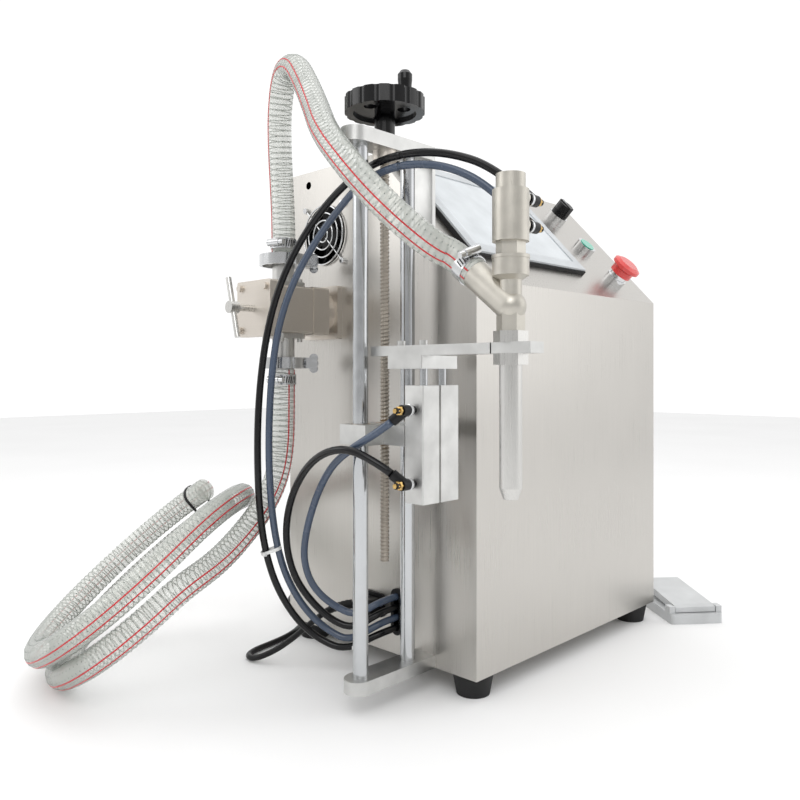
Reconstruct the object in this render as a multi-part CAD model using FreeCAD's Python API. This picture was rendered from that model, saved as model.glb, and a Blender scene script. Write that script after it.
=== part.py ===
"""Bench-top liquid filler: a stainless cabinet with a pump and fan on its left side, and a lifting column
that carries a diving nozzle in front of the cabinet.

Millimetres. Working frame: X = 0 at the cabinet's left side, Y = 0 at its front, Z = 0 on the table.
The exported frame has its origin at the centre of the front-left foot's sole.
"""
import FreeCAD
import Part
import math
import os
from FreeCAD import Vector as V

# ---------------------------------------------------------------- driving dimensions
FOOT_HEIGHT = 24.0
FOOT_INSET = 24.0
FOOT_TOP_R = 23.0
FOOT_SOLE_R = 18.5

CAB_W = 404.0
CAB_D = 318.0
CAB_FRONT_H = 426.0
CAB_BACK_H = 588.0
SLOPE_RUN = 152.0
SHEET = 1.5
PAN_T = 2.0
PAN_GAP = 0.2

COLUMN_R = 8.0
COLUMN_Y = 73.0
COLUMN_X = (-99.0, -29.0)
SCREW_X = -64.0
SCREW_R = 5.0
SCREW_LOW_Z = 151.0
SCREW_LEAD = 4.0
PLATE_W = 30.0
FOOT_PLATE_T = 14.0
FOOT_PLATE_REACH = 117.0
TOP_PLATE_Z = 585.0
TOP_PLATE_T = 15.0
TOP_PLATE_REACH = 121.0
SIDE_BAR_T = 5.0
SIDE_BAR_LOW_Z = 492.0

WHEEL_R = 42.5
WHEEL_RIM_H = 17.0
WHEEL_GAP = 25.0
HANDLE_AT_R = 31.0
HANDLE_R = 8.0
HANDLE_H = 37.0

CARRIAGE_Z = 277.5
CARRIAGE_H = 20.5
CARRIAGE_X = (-114.0, -8.0)
CARRIAGE_Y = (50.0, 88.0)
BUSH_WALL = 2.5
RUN_GAP = 0.05
LIFT_DOWN = 115.0
LIFT_UP = 120.0

CYL_X = (-89.0, -35.0)
CYL_Y = (-5.0, 20.0)
CYL_Z = (222.0, 338.0)
CYL_BORE_R = 8.0
ROD_SPACING = 28.0
ROD_R = 4.0
ROD_GAP = 16.5
ELBOW_HEART = 12.0
ELBOW_REACH = 17.0
END_PLATE_T = 13.0
END_PLATE_DEPTH = 47.0
DIVE_UP = 50.0

ARM_W = 20.0
ARM_T = 10.0
ARM_FRONT_Y = -131.0
ARM_BACK_Y = 66.0
NOZZLE_Y = -103.0
NOZZLE_R = 10.2
NOZZLE_BORE_R = 7.5
NOZZLE_LEN = 109.0
TIP_LEN = 10.0
TIP_R = 6.6
NUT_AF = 27.0
SEAT_BORE_R = 8.5
BODY_R = 10.0
COLLAR_R = 16.4
ACT_R = 16.4
ACT_H = 46.0
CAP_R = 13.3
CAP_H = 14.0
NUT_H = 10.0
HEX_H = 20.0
TEE_H = 29.0
COLLAR_H = 18.0
NECK_H = 12.0
STEM_R = 3.0
STEM_LIFT = 6.0
BRANCH_TILT = 39.0
BRANCH_R = 14.0
BRANCH_LEN = 50.0

FAN_SIZE = 80.0
FAN_T = 25.0
FAN_HOLE_R = 38.0
FAN_AT = (246.0, 526.0)
FAN_BLADES = 7
FAN_RINGS = (9.0, 18.5, 28.0, 37.5)
WIRE_R = 1.0

PUMP_AT = (246.0, 426.0)
PUMP_PLATE = 66.0
PUMP_PLATE_T = 8.0
PUMP_BLOCK = 56.0
PUMP_BLOCK_X = (-98.0, -42.0)
PUMP_FRONT_T = 12.0
PUMP_COVER_T = 24.0
PORT_X = -66.0
PORT_R = 13.5
PORT_BORE_R = 11.0
FERRULE_R = 25.25
PORT_FLANGE = 40.0
PORT_FLANGE_T = 6.0
LOW_FERRULE_Z = 370.0
HIGH_FERRULE_Z = 477.0
FERRULE_T = 2.8
TRI_CLAMP_T = 13.0
TRI_CLAMP_R = 29.0
BARB_LEN = 24.0
ROTOR_CENTRES = 22.0
ROTOR_MEAN_R = 10.4
ROTOR_SWING = 3.4
ROTOR_LEN = 34.0
SHAFT_R = 5.0

HOSE_R = 14.5
HOSE_GAP = 0.3
TUBE_R = 4.0
CORD_R = 3.5

HMI_X = (24.0, 258.0)
HMI_S = (42.0, 208.0)
HMI_PROUD = 8.0
HMI_DEPTH = 32.0
HMI_FRAME = 14.0
BUTTON_X = 331.0
BUTTON_S = {"estop": 36.0, "start": 104.0, "selector": 172.0}
PANEL_HOLE_R = 11.15
BEZEL_R = 14.5
BEZEL_H = 10.0
START_CAP_R = 11.0
START_CAP_T = 2.4
ESTOP_COLLAR_R = 12.3
ESTOP_COLLAR_H = 8.0
ESTOP_R = 20.0
BUTTON_STEM_R = 7.7
START_PRESS = 4.0
ESTOP_PRESS = 6.0

PEDAL_AT = (462.0, -9.0)
PEDAL_W = 76.0
PEDAL_L = 122.0
PEDAL_BASE_H = 14.0
PEDAL_TURN = -40.0
PEDAL_PRESS = 6.0

INLET_AT = (154.0, 76.0)
GLAND_AT = (116.0, 74.0)
GLAND_SLEEVE = 2.0
GLAND_OUT_X = -3.0
GLAND_PITCH = 12.0

TILT = math.atan2(CAB_BACK_H - CAB_FRONT_H, SLOPE_RUN)
SHOULDER_Z = FOOT_HEIGHT + CAB_FRONT_H
CAB_TOP_Z = FOOT_HEIGHT + CAB_BACK_H
PUMP_Y, PUMP_Z = PUMP_AT
ROD_MID_X = sum(CYL_X) / 2
ROD_Y = CYL_Y[0] + 11.0
END_PLATE_Z = CYL_Z[1] + ROD_GAP
ARM_X = CYL_X[0] - 2.0
ARM_Z = END_PLATE_Z + END_PLATE_T
NOZZLE_X = ARM_X + ARM_W / 2
ARM_TOP_Z = ARM_Z + ARM_T

UP, RIGHT, BACK = V(0, 0, 1), V(1, 0, 0), V(0, 1, 0)
ORIGIN_SHIFT = V(-FOOT_INSET, -FOOT_INSET, 0)


# ---------------------------------------------------------------- helpers
def box(x, y, z):
    """A block between pairs of coordinates."""
    return Part.makeBox(x[1] - x[0], y[1] - y[0], z[1] - z[0], V(x[0], y[0], z[0]))


def rod(start, axis, radius, length):
    return Part.makeCylinder(radius, length, V(start), V(axis))


def ring(start, axis, outer, inner, length):
    return rod(start, axis, outer, length).cut(rod(start, axis, inner, length))


def cone(start, axis, r_from, r_to, length):
    return Part.makeCone(r_from, r_to, length, V(start), V(axis))


def hexagon(start, across_flats, length):
    """An upright hexagonal prism with one flat towards the front."""
    radius = across_flats / math.sqrt(3)
    turns = [math.radians(60 * k) for k in range(7)]
    corners = [V(start) + V(radius * math.cos(a), radius * math.sin(a), 0) for a in turns]
    return Part.Face(Part.makePolygon(corners)).extrude(UP * length)


def fuse(first, *others):
    return first.multiFuse([o for o in others]).removeSplitter()


def cut(shape, *tools):
    for tool in tools:
        shape = shape.cut(tool)
    return shape


def rounded(shape, radius, chosen):
    """Fillet the edges that the test picks."""
    return shape.makeFillet(radius, [e for e in shape.Edges if chosen(e)])


def runs_along(axis):
    def test(edge):
        ends = edge.Vertexes
        if len(ends) != 2 or edge.Curve.TypeId != "Part::GeomLine":
            return False
        return abs((ends[1].Point - ends[0].Point).normalize().dot(axis)) > 0.999
    return test


def on_panel(x, s, h):
    """A point on the sloped panel: x across, s up the slope from the front edge, h proud of it."""
    c, q = math.cos(TILT), math.sin(TILT)
    return V(x, s * c - h * q, SHOULDER_Z + s * q + h * c)


PANEL_NORMAL = V(0, -math.sin(TILT), math.cos(TILT))


def panel_block(x, s, h):
    """A block whose sides follow the sloped panel."""
    block = box(x, s, h)
    block.rotate(V(0, 0, 0), RIGHT, math.degrees(TILT))
    block.translate(V(0, 0, SHOULDER_Z))
    return block


def bent_tube(points, radius, name):
    """A round tube along straight runs joined by tangent arcs, as large as the runs allow."""
    pts = [V(*p) for p in points]
    edges, here, radii = [], pts[0], []
    for before, corner, after in zip(pts, pts[1:], pts[2:]):
        into, out = corner - before, after - corner
        turn = into.getAngle(out)
        reach = 0.45 * min(into.Length, out.Length)
        radii.append(reach / math.tan(turn / 2))
        start = corner - V(into).normalize() * reach
        end = corner + V(out).normalize() * reach
        inward = (V(out).normalize() - V(into).normalize()).normalize()
        sag = radii[-1] * (1 / math.cos(turn / 2) - 1)
        edges.append(Part.LineSegment(here, start).toShape())
        edges.append(Part.Arc(start, corner + inward * sag, end).toShape())
        here = end
    edges.append(Part.LineSegment(here, pts[-1]).toShape())
    path = Part.Wire(edges)
    profile = Part.Wire(Part.makeCircle(radius, pts[0], pts[1] - pts[0]))
    tube = path.makePipeShell([profile], True, False)
    wanted = math.pi * radius * radius * path.Length
    print(f"{name}: length {path.Length:.0f}, volume/wanted {tube.Volume / wanted:.4f}, "
          f"smallest bend radius {min(radii):.0f}")
    return tube


# ---------------------------------------------------------------- cabinet
def cabinet_profile(inset):
    """The side outline, drawn inwards by the sheet's thickness where asked."""
    lean = inset * math.tan((math.pi / 2 - TILT) / 2)
    top = inset * math.tan(TILT / 2)
    corners = [
        V(0, inset, FOOT_HEIGHT),
        V(0, CAB_D - inset, FOOT_HEIGHT),
        V(0, CAB_D - inset, CAB_TOP_Z - inset),
        V(0, SLOPE_RUN + top, CAB_TOP_Z - inset),
        V(0, inset, SHOULDER_Z - lean),
    ]
    return Part.Face(Part.makePolygon(corners + corners[:1]))


def cabinet_shell():
    outer = cabinet_profile(0).extrude(RIGHT * CAB_W)
    hollow = cabinet_profile(SHEET).extrude(RIGHT * (CAB_W - 2 * SHEET))
    hollow.translate(V(SHEET, 0, 0))
    fan_y, fan_z = FAN_AT
    through = 4 * SHEET
    holes = [
        rod(V(-SHEET, fan_y, fan_z), RIGHT, FAN_HOLE_R, through),
        rod(V(-SHEET, PUMP_Y, rotor_axis_z(-1)), RIGHT, SHAFT_R + 6, through),
        gland_slot(GLAND_SLEEVE, (-SHEET, through)),
        rod(V(-SHEET, 279, 595), RIGHT, 5.0, through),
        box((-SHEET, through), (INLET_AT[0] - 13.5, INLET_AT[0] + 13.5), (INLET_AT[1] - 10, INLET_AT[1] + 10)),
        panel_block((HMI_X[0] + 8, HMI_X[1] - 8), (HMI_S[0] + 8, HMI_S[1] - 8), (-through, through)),
    ]
    holes += [rod(on_panel(BUTTON_X, s, -through), PANEL_NORMAL, PANEL_HOLE_R, 2 * through)
              for s in BUTTON_S.values()]
    return cut(outer, hollow, *holes)


def base_pan():
    inside = SHEET + PAN_GAP
    return box((inside, CAB_W - inside), (inside, CAB_D - inside), (FOOT_HEIGHT, FOOT_HEIGHT + PAN_T))


def foot_centres():
    far_x, far_y = CAB_W - FOOT_INSET, CAB_D - FOOT_INSET
    return [V(x, y, 0) for y in (FOOT_INSET, far_y) for x in (FOOT_INSET, far_x)]


def feet():
    return Part.makeCompound([cone(c, UP, FOOT_SOLE_R, FOOT_TOP_R, FOOT_HEIGHT) for c in foot_centres()])


# ---------------------------------------------------------------- lifting column
def column(x):
    return rod(V(x, COLUMN_Y, FOOT_HEIGHT + 4), UP, COLUMN_R, TOP_PLATE_Z + TOP_PLATE_T - 4 - FOOT_HEIGHT - 4)


def column_plate(reach, low_z, thickness):
    """A flat bar with a round outer end, held on the cabinet's side."""
    end_x = -reach + PLATE_W / 2
    bar = box((end_x, -SIDE_BAR_T), (COLUMN_Y - PLATE_W / 2, COLUMN_Y + PLATE_W / 2), (low_z, low_z + thickness))
    return fuse(bar, rod(V(end_x, COLUMN_Y, low_z), UP, PLATE_W / 2, thickness))


def top_plate():
    plate = column_plate(TOP_PLATE_REACH, TOP_PLATE_Z, TOP_PLATE_T)
    depth = TOP_PLATE_T - 4
    seats = [rod(V(x, COLUMN_Y, TOP_PLATE_Z), UP, COLUMN_R, depth) for x in COLUMN_X]
    return cut(plate, rod(V(SCREW_X, COLUMN_Y, TOP_PLATE_Z - 1), UP, SCREW_R + 2, TOP_PLATE_T + 2), *seats)


def foot_plate():
    plate = column_plate(FOOT_PLATE_REACH, FOOT_HEIGHT, FOOT_PLATE_T)
    inner = box((-SIDE_BAR_T, 0), (COLUMN_Y - PLATE_W / 2, COLUMN_Y + PLATE_W / 2),
                (FOOT_HEIGHT, FOOT_HEIGHT + FOOT_PLATE_T))
    seats = [rod(V(x, COLUMN_Y, FOOT_HEIGHT + 4), UP, COLUMN_R, FOOT_PLATE_T) for x in COLUMN_X]
    heads = [rod(V(x, COLUMN_Y, FOOT_HEIGHT - 3), UP, 4.5, 3) for x in COLUMN_X]
    return fuse(cut(fuse(plate, inner), *seats), *heads)


def side_bar():
    half = PLATE_W / 2
    return box((-SIDE_BAR_T, 0), (COLUMN_Y - half, COLUMN_Y + half), (SIDE_BAR_LOW_Z, TOP_PLATE_Z + TOP_PLATE_T))


def screw_bearing():
    """The flanged bush under the top plate that holds the lead screw."""
    low = ring(V(SCREW_X, COLUMN_Y, TOP_PLATE_Z - 10), UP, 13, SCREW_R + RUN_GAP, 10)
    neck = ring(V(SCREW_X, COLUMN_Y, TOP_PLATE_Z), UP, SCREW_R + 2, SCREW_R + RUN_GAP, TOP_PLATE_T)
    return fuse(low, neck)


def lead_screw():
    top = TOP_PLATE_Z + TOP_PLATE_T + WHEEL_GAP + WHEEL_RIM_H - 4
    return rod(V(SCREW_X, COLUMN_Y, SCREW_LOW_Z), UP, SCREW_R, top - SCREW_LOW_Z)


def handwheel():
    """A dished wheel with finger notches in its rim and three windows in its web."""
    base = TOP_PLATE_Z + TOP_PLATE_T + WHEEL_GAP
    centre = V(SCREW_X, COLUMN_Y, base)
    wheel = cut(rod(centre, UP, WHEEL_R, WHEEL_RIM_H), rod(centre + UP * 9, UP, WHEEL_R - 9, WHEEL_RIM_H),
                rod(centre - UP, UP, WHEEL_R - 9, 4))
    hub = rod(centre - UP * (WHEEL_GAP - 1), UP, 11, WHEEL_GAP + WHEEL_RIM_H - 4)
    wheel = fuse(wheel, hub, rod(centre + V(HANDLE_AT_R, 0, 3), UP, 7, WHEEL_RIM_H - 4))
    for k in range(16):
        a = math.radians(22.5 * k + 11)
        wheel = cut(wheel, rod(centre + V((WHEEL_R + 5) * math.cos(a), (WHEEL_R + 5) * math.sin(a), -1), UP, 6.5,
                               WHEEL_RIM_H + 2))
    for k in range(3):
        a = math.radians(120 * k + 60)
        wheel = cut(wheel, rod(centre + V(21 * math.cos(a), 21 * math.sin(a), -1), UP, 7, WHEEL_RIM_H))
    pin_hole = rod(centre + V(HANDLE_AT_R, 0, 6), UP, 3.0, WHEEL_RIM_H)
    return cut(wheel, rod(centre - UP * WHEEL_GAP, UP, SCREW_R, WHEEL_GAP + WHEEL_RIM_H - 4), pin_hole)


def wheel_handle():
    """The revolving grip on its pin."""
    base = TOP_PLATE_Z + TOP_PLATE_T + WHEEL_GAP + WHEEL_RIM_H + 0.5
    at = V(SCREW_X + HANDLE_AT_R, COLUMN_Y, base)
    grip = fuse(rod(at, UP, HANDLE_R - 2, HANDLE_H - 14), cone(at, UP, HANDLE_R - 2.5, HANDLE_R, HANDLE_H - 10))
    grip = fuse(grip, rod(at + UP * (HANDLE_H - 10), UP, HANDLE_R, 6),
                cone(at + UP * (HANDLE_H - 4), UP, HANDLE_R, HANDLE_R - 3, 4))
    return fuse(grip, rod(at - UP * 9.5, UP, 3.0 - RUN_GAP, 10))


# ---------------------------------------------------------------- carriage and cylinder
def carriage():
    z = (CARRIAGE_Z, CARRIAGE_Z + CARRIAGE_H)
    block = fuse(box(CARRIAGE_X, CARRIAGE_Y, z), box(CYL_X, (CYL_Y[1], CARRIAGE_Y[0]), z))
    bores = [rod(V(x, COLUMN_Y, CARRIAGE_Z - 1), UP, COLUMN_R + RUN_GAP + BUSH_WALL, CARRIAGE_H + 2)
             for x in COLUMN_X]
    nut = rod(V(SCREW_X, COLUMN_Y, CARRIAGE_Z - 1), UP, SCREW_R + RUN_GAP + 5, CARRIAGE_H + 2)
    return cut(block, nut, *bores)


def carriage_bushes():
    """Two slide bushes and the lead screw's nut, pressed into the block."""
    rings = [ring(V(x, COLUMN_Y, CARRIAGE_Z), UP, COLUMN_R + RUN_GAP + BUSH_WALL, COLUMN_R + RUN_GAP, CARRIAGE_H)
             for x in COLUMN_X]
    nut = ring(V(SCREW_X, COLUMN_Y, CARRIAGE_Z), UP, SCREW_R + RUN_GAP + 5, SCREW_R + RUN_GAP, CARRIAGE_H)
    return Part.makeCompound(rings + [nut])


def rod_centres():
    return [V(ROD_MID_X + side * ROD_SPACING / 2, ROD_Y, 0) for side in (-1, 1)]


def cylinder_body():
    body = box(CYL_X, CYL_Y, CYL_Z)
    body = rounded(body, 1.5, runs_along(UP))
    tools = []
    for at in rod_centres():
        tools.append(rod(at + UP * (CYL_Z[0] + 6), UP, CYL_BORE_R, CYL_Z[1] - CYL_Z[0] - 14))
        tools.append(rod(at + UP * (CYL_Z[1] - 10), UP, ROD_R + RUN_GAP, 12))
    groove_x = ROD_MID_X - 2
    tools.append(box((groove_x - 1.6, groove_x + 1.6), (CYL_Y[0] - 1, CYL_Y[0] + 2), (CYL_Z[0] - 1, CYL_Z[1] + 1)))
    return cut(body, *tools)


def cylinder_rods():
    """Two rods with their pistons, which carry the end plate."""
    low = CYL_Z[0] + 6 + 0.5
    rods = []
    for at in rod_centres():
        piston = rod(at + UP * low, UP, CYL_BORE_R - RUN_GAP, 10)
        rods.append(fuse(piston, rod(at + UP * (low + 10), UP, ROD_R, END_PLATE_Z - low - 10)))
    return Part.makeCompound(rods)


def elbow(at, out, tube_way, radius=5.5):
    """A push-in elbow: a threaded stem from the port, a round body and a collar towards the tube."""
    out = V(out).normalize()
    stem = rod(at, out, 4.0, 4)
    body = rod(at + out * 4, out, radius, 14)
    arm = rod(at + out * ELBOW_HEART, V(tube_way).normalize(), radius, ELBOW_REACH)
    screw = rod(at + out * 18, out, 3.2, 8)
    return fuse(stem, body, arm, screw)


def tube_start(at, out, tube_way):
    """The first two points of the tube that leaves an elbow."""
    way = V(tube_way).normalize()
    end = at + V(out).normalize() * ELBOW_HEART + way * ELBOW_REACH
    return [tuple(end), tuple(end + way * 12)]


def tube_end(step):
    """The last two points of a tube, which enters the cabinet square, step places above the grommet's middle."""
    y, z = GLAND_AT[0], GLAND_AT[1] + step * GLAND_PITCH
    return [(GLAND_OUT_X - 24, y, z), (SHEET, y, z)]


CYL_PORTS = [V(CYL_X[0], CYL_Y[0] + 12, z) for z in (314.0, 242.0)]
CYL_TUBE_WAYS = [V(-0.45, 0.62, -0.62), V(-0.55, 0.55, 0.62)]


def cylinder_fittings():
    return Part.makeCompound([elbow(p, -RIGHT, w) for p, w in zip(CYL_PORTS, CYL_TUBE_WAYS)])


def cylinder_end_plate():
    x = (ARM_X, CYL_X[1] - 2)
    y = (CYL_Y[0], CYL_Y[0] + END_PLATE_DEPTH)
    plate = box(x, y, (END_PLATE_Z, END_PLATE_Z + END_PLATE_T))
    return rounded(plate, 1.0, runs_along(UP))


# ---------------------------------------------------------------- nozzle head
def nozzle_arm():
    bar = box((ARM_X, ARM_X + ARM_W), (ARM_FRONT_Y, ARM_BACK_Y), (ARM_Z, ARM_TOP_Z))
    bore = rod(V(NOZZLE_X, NOZZLE_Y, ARM_Z - 1), UP, SEAT_BORE_R, ARM_T + 2)
    slit = box((ARM_X - 1, NOZZLE_X), (NOZZLE_Y + 14, NOZZLE_Y + 15.5), (ARM_Z - 1, ARM_TOP_Z + 1))
    heads = [rod(V(NOZZLE_X, y, ARM_TOP_Z), UP, 4.5, 5) for y in (CYL_Y[0] + 7, CYL_Y[0] + 37)]
    return fuse(cut(bar, bore, slit), *heads)


def nozzle_tube():
    """The filling tube with its cone tip, and the two nuts that clamp it through the arm."""
    at = V(NOZZLE_X, NOZZLE_Y, 0)
    low = ARM_Z - NUT_H - NOZZLE_LEN
    tube = fuse(rod(at + UP * low, UP, NOZZLE_R, NOZZLE_LEN),
                cone(at + UP * (low - TIP_LEN), UP, TIP_R, NOZZLE_R, TIP_LEN))
    tube = fuse(tube, hexagon(at + UP * (ARM_Z - NUT_H), NUT_AF, NUT_H), rod(at + UP * ARM_Z, UP, SEAT_BORE_R, ARM_T),
                hexagon(at + UP * ARM_TOP_Z, NUT_AF, NUT_H))
    return cut(tube, rod(at + UP * (low - TIP_LEN - 1), UP, TIP_R - 1.6, TIP_LEN + 3),
               rod(at + UP * low, UP, NOZZLE_BORE_R - 1, NOZZLE_LEN + 20 + ARM_T))


HEX_Z = ARM_TOP_Z + NUT_H
TEE_Z = HEX_Z + HEX_H
COLLAR_Z = TEE_Z + TEE_H
NECK_Z = COLLAR_Z + COLLAR_H
ACT_Z = NECK_Z + NECK_H
ACT_PORTS = (17.5, 42.0)
BRANCH_DIR = V(0, math.cos(math.radians(BRANCH_TILT)), math.sin(math.radians(BRANCH_TILT)))
BRANCH_ROOT = V(NOZZLE_X, NOZZLE_Y, TEE_Z + 2)


def valve_body():
    """The investment-cast Y body: hexagon, straight run, collar, bonnet hexagon and the hose branch."""
    at = V(NOZZLE_X, NOZZLE_Y, 0)
    run = fuse(hexagon(at + UP * HEX_Z, 22, HEX_H), rod(at + UP * TEE_Z, UP, BODY_R, TEE_H),
               rod(at + UP * COLLAR_Z, UP, COLLAR_R, COLLAR_H - 3),
               cone(at + UP * (COLLAR_Z - 4), UP, BODY_R, COLLAR_R, 4),
               rod(at + UP * (NECK_Z - 3), UP, COLLAR_R + 0.6, 3), hexagon(at + UP * NECK_Z, 23, NECK_H))
    elbow_ball = Part.makeSphere(BRANCH_R, BRANCH_ROOT)
    body = fuse(run, rod(BRANCH_ROOT, BRANCH_DIR, BRANCH_R, BRANCH_LEN), elbow_ball)
    flow = rod(BRANCH_ROOT, BRANCH_DIR, PORT_BORE_R - 3, BRANCH_LEN + 1)
    return cut(body, rod(at + UP * HEX_Z, UP, NOZZLE_BORE_R - 1, COLLAR_Z - HEX_Z + 8), flow,
               rod(at + UP * (COLLAR_Z + 4), UP, STEM_R + RUN_GAP, ACT_Z - COLLAR_Z))


def actuator():
    at = V(NOZZLE_X, NOZZLE_Y, ACT_Z)
    body = fuse(rod(at, UP, ACT_R, ACT_H), rod(at + UP * ACT_H, UP, CAP_R, CAP_H))
    bosses = [rod(at + UP * h, RIGHT, 6.5, ACT_R + 5) for h in ACT_PORTS]
    hollow = fuse(rod(at + UP * 5, UP, ACT_R - 4, ACT_H - 8), rod(at - UP, UP, STEM_R + RUN_GAP, 8))
    return cut(fuse(body, *bosses), hollow)


def actuator_fittings():
    return Part.makeCompound([elbow(port, RIGHT, ACT_TUBE_WAY) for port in ACT_MOUTHS])


ACT_MOUTHS = [V(NOZZLE_X + ACT_R + 5, NOZZLE_Y, ACT_Z + h) for h in ACT_PORTS]
ACT_TUBE_WAY = V(0.1, 0.75, 0.65)


def valve_stem():
    """The stem that shuts the nozzle, with the actuator's piston on its upper end."""
    at = V(NOZZLE_X, NOZZLE_Y, 0)
    low = ARM_Z - NUT_H - NOZZLE_LEN + 2.5
    piston_z = ACT_Z + 6
    plug = cone(at + UP * low, UP, 3.2, NOZZLE_BORE_R - 1.6, 8)
    return fuse(plug, rod(at + UP * (low + 8), UP, STEM_R, piston_z - low - 8),
                rod(at + UP * piston_z, UP, ACT_R - 4 - RUN_GAP, 12))


# ---------------------------------------------------------------- fan
def fan_frame():
    y, z = FAN_AT
    half = FAN_SIZE / 2
    frame = box((SHEET, SHEET + FAN_T), (y - half, y + half), (z - half, z + half))
    frame = rounded(frame, 4.0, runs_along(RIGHT))
    frame = cut(frame, rod(V(SHEET - 1, y, z), RIGHT, FAN_HOLE_R, FAN_T + 2))
    spider = rod(V(SHEET + FAN_T - 5, y, z), RIGHT, 18, 5)
    arms = []
    for k in range(4):
        arm = box((SHEET + FAN_T - 4, SHEET + FAN_T), (y - 2, y + 2), (z, z + FAN_HOLE_R + 1))
        arm.rotate(V(0, y, z), RIGHT, 90 * k + 45)
        arms.append(arm)
    pin = rod(V(SHEET + 8, y, z), RIGHT, 1.5, FAN_T - 8)
    return fuse(frame, spider, pin, *arms)


def fan_rotor():
    y, z = FAN_AT
    rotor = ring(V(SHEET + 3, y, z), RIGHT, 16, 1.5 + RUN_GAP, FAN_T - 9)
    blades = []
    for k in range(FAN_BLADES):
        blade = box((SHEET + 8, SHEET + 9.6), (y - 11, y + 11), (z + 14, z + FAN_HOLE_R - 1.5))
        blade.rotate(V(SHEET + 9, y, z), V(0, 0, 1), 32)
        blade.rotate(V(0, y, z), RIGHT, 360 * k / FAN_BLADES)
        blades.append(blade)
    return fuse(rotor, *blades)


def fan_guard():
    """Chrome wire rings on two crossed wires, bolted over the hole at the corners."""
    y, z = FAN_AT
    wires = [Part.makeTorus(r, WIRE_R, V(-3.5, y, z), RIGHT) for r in FAN_RINGS]
    for k in range(4):
        a = math.radians(90 * k + 45)
        reach = V(0, math.cos(a), math.sin(a))
        wires.append(rod(V(-2.2, y, z) + reach * 6, reach, WIRE_R, 46))
        wires.append(rod(V(-4.2, y, z) + reach * 50.5, RIGHT, 3.6, 4.2))
    return fuse(*wires)


# ---------------------------------------------------------------- pump
def pump_square(size, x):
    half = size / 2
    plate = box(x, (PUMP_Y - half, PUMP_Y + half), (PUMP_Z - half, PUMP_Z + half))
    return rounded(plate, 3.0, runs_along(RIGHT))


def pump_mount_plate():
    plate = pump_square(PUMP_PLATE, (-PUMP_PLATE_T, 0))
    return cut(plate, rod(V(-PUMP_PLATE_T - 1, PUMP_Y, rotor_axis_z(-1)), RIGHT, SHAFT_R + 6, PUMP_PLATE_T + 2))


def rotor_axis_z(side):
    return PUMP_Z + side * ROTOR_CENTRES / 2


def pump_housing():
    block = pump_square(PUMP_BLOCK, PUMP_BLOCK_X)
    radius = ROTOR_MEAN_R + ROTOR_SWING + 0.3
    chambers = [rod(V(PUMP_BLOCK_X[0] - 1, PUMP_Y, rotor_axis_z(s)), RIGHT, min(radius, ROTOR_CENTRES), ROTOR_LEN + 2)
                for s in (-1, 1)]
    shafts = [rod(V(PUMP_BLOCK_X[0], PUMP_Y, rotor_axis_z(s)), RIGHT, SHAFT_R + RUN_GAP, 60) for s in (-1, 1)]
    ways = rod(V(PORT_X, PUMP_Y, PUMP_Z - PUMP_BLOCK), UP, PORT_BORE_R, 2 * PUMP_BLOCK)
    return cut(block, *chambers, *shafts, ways)


def pump_end_cover():
    """The round bearing housing between the pump block and its mounting plate."""
    start = V(PUMP_BLOCK_X[1], PUMP_Y, PUMP_Z)
    length = -PUMP_PLATE_T - PUMP_BLOCK_X[1]
    cover = fuse(rod(start, RIGHT, 29, length), pump_square(PUMP_BLOCK + 2, (PUMP_BLOCK_X[1], PUMP_BLOCK_X[1] + PUMP_COVER_T)))
    drive = rod(V(start.x - 1, PUMP_Y, rotor_axis_z(-1)), RIGHT, SHAFT_R + RUN_GAP, length + 2)
    idle = rod(V(start.x - 1, PUMP_Y, rotor_axis_z(1)), RIGHT, SHAFT_R + RUN_GAP, 14)
    return cut(cover, drive, idle)


def pump_front_plate():
    x = (PUMP_BLOCK_X[0] - PUMP_FRONT_T, PUMP_BLOCK_X[0])
    plate = pump_square(PUMP_PLATE, x)
    half = PUMP_PLATE / 2 - 8
    heads = [rod(V(x[0] - 4, PUMP_Y + sy * half, PUMP_Z + sz * half), RIGHT, 4, 4) for sy in (-1, 1) for sz in (-1, 1)]
    thread = rod(V(x[0] - 1, PUMP_Y, PUMP_Z), RIGHT, 4 + RUN_GAP, 8)
    return cut(fuse(plate, *heads), thread)


def pump_t_handle():
    """The cover's tightening screw with its sliding bar."""
    x0 = PUMP_BLOCK_X[0] - PUMP_FRONT_T
    screw = rod(V(x0 - 34, PUMP_Y, PUMP_Z), RIGHT, 4, 40)
    hub = rod(V(x0 - 34, PUMP_Y, PUMP_Z), RIGHT, 7, 12)
    lean = V(0, math.sin(math.radians(15)), math.cos(math.radians(15)))
    bar = rod(V(x0 - 28, PUMP_Y, PUMP_Z) - lean * 36, lean, 3.3, 72)
    return fuse(screw, hub, bar)


def lobe_rotor(side):
    """A two-lobed rotor on its shaft. The pair sit a quarter turn apart and turn opposite ways."""
    centre = V(PUMP_BLOCK_X[0] + 0.5, PUMP_Y, rotor_axis_z(side))
    phase = 0 if side < 0 else math.pi / 2
    outline = []
    for k in range(48):
        a = math.radians(7.5 * k)
        r = ROTOR_MEAN_R + ROTOR_SWING * math.cos(2 * (a - phase))
        outline.append(centre + V(0, r * math.cos(a), r * math.sin(a)))
    curve = Part.BSplineCurve()
    curve.interpolate(outline, PeriodicFlag=True)
    lobes = Part.Face(Part.Wire(curve.toShape())).extrude(RIGHT * ROTOR_LEN)
    shaft_end = SHEET + 16 if side < 0 else PUMP_BLOCK_X[1] + 12
    return fuse(lobes, rod(centre, RIGHT, SHAFT_R, shaft_end - centre.x))


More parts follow.
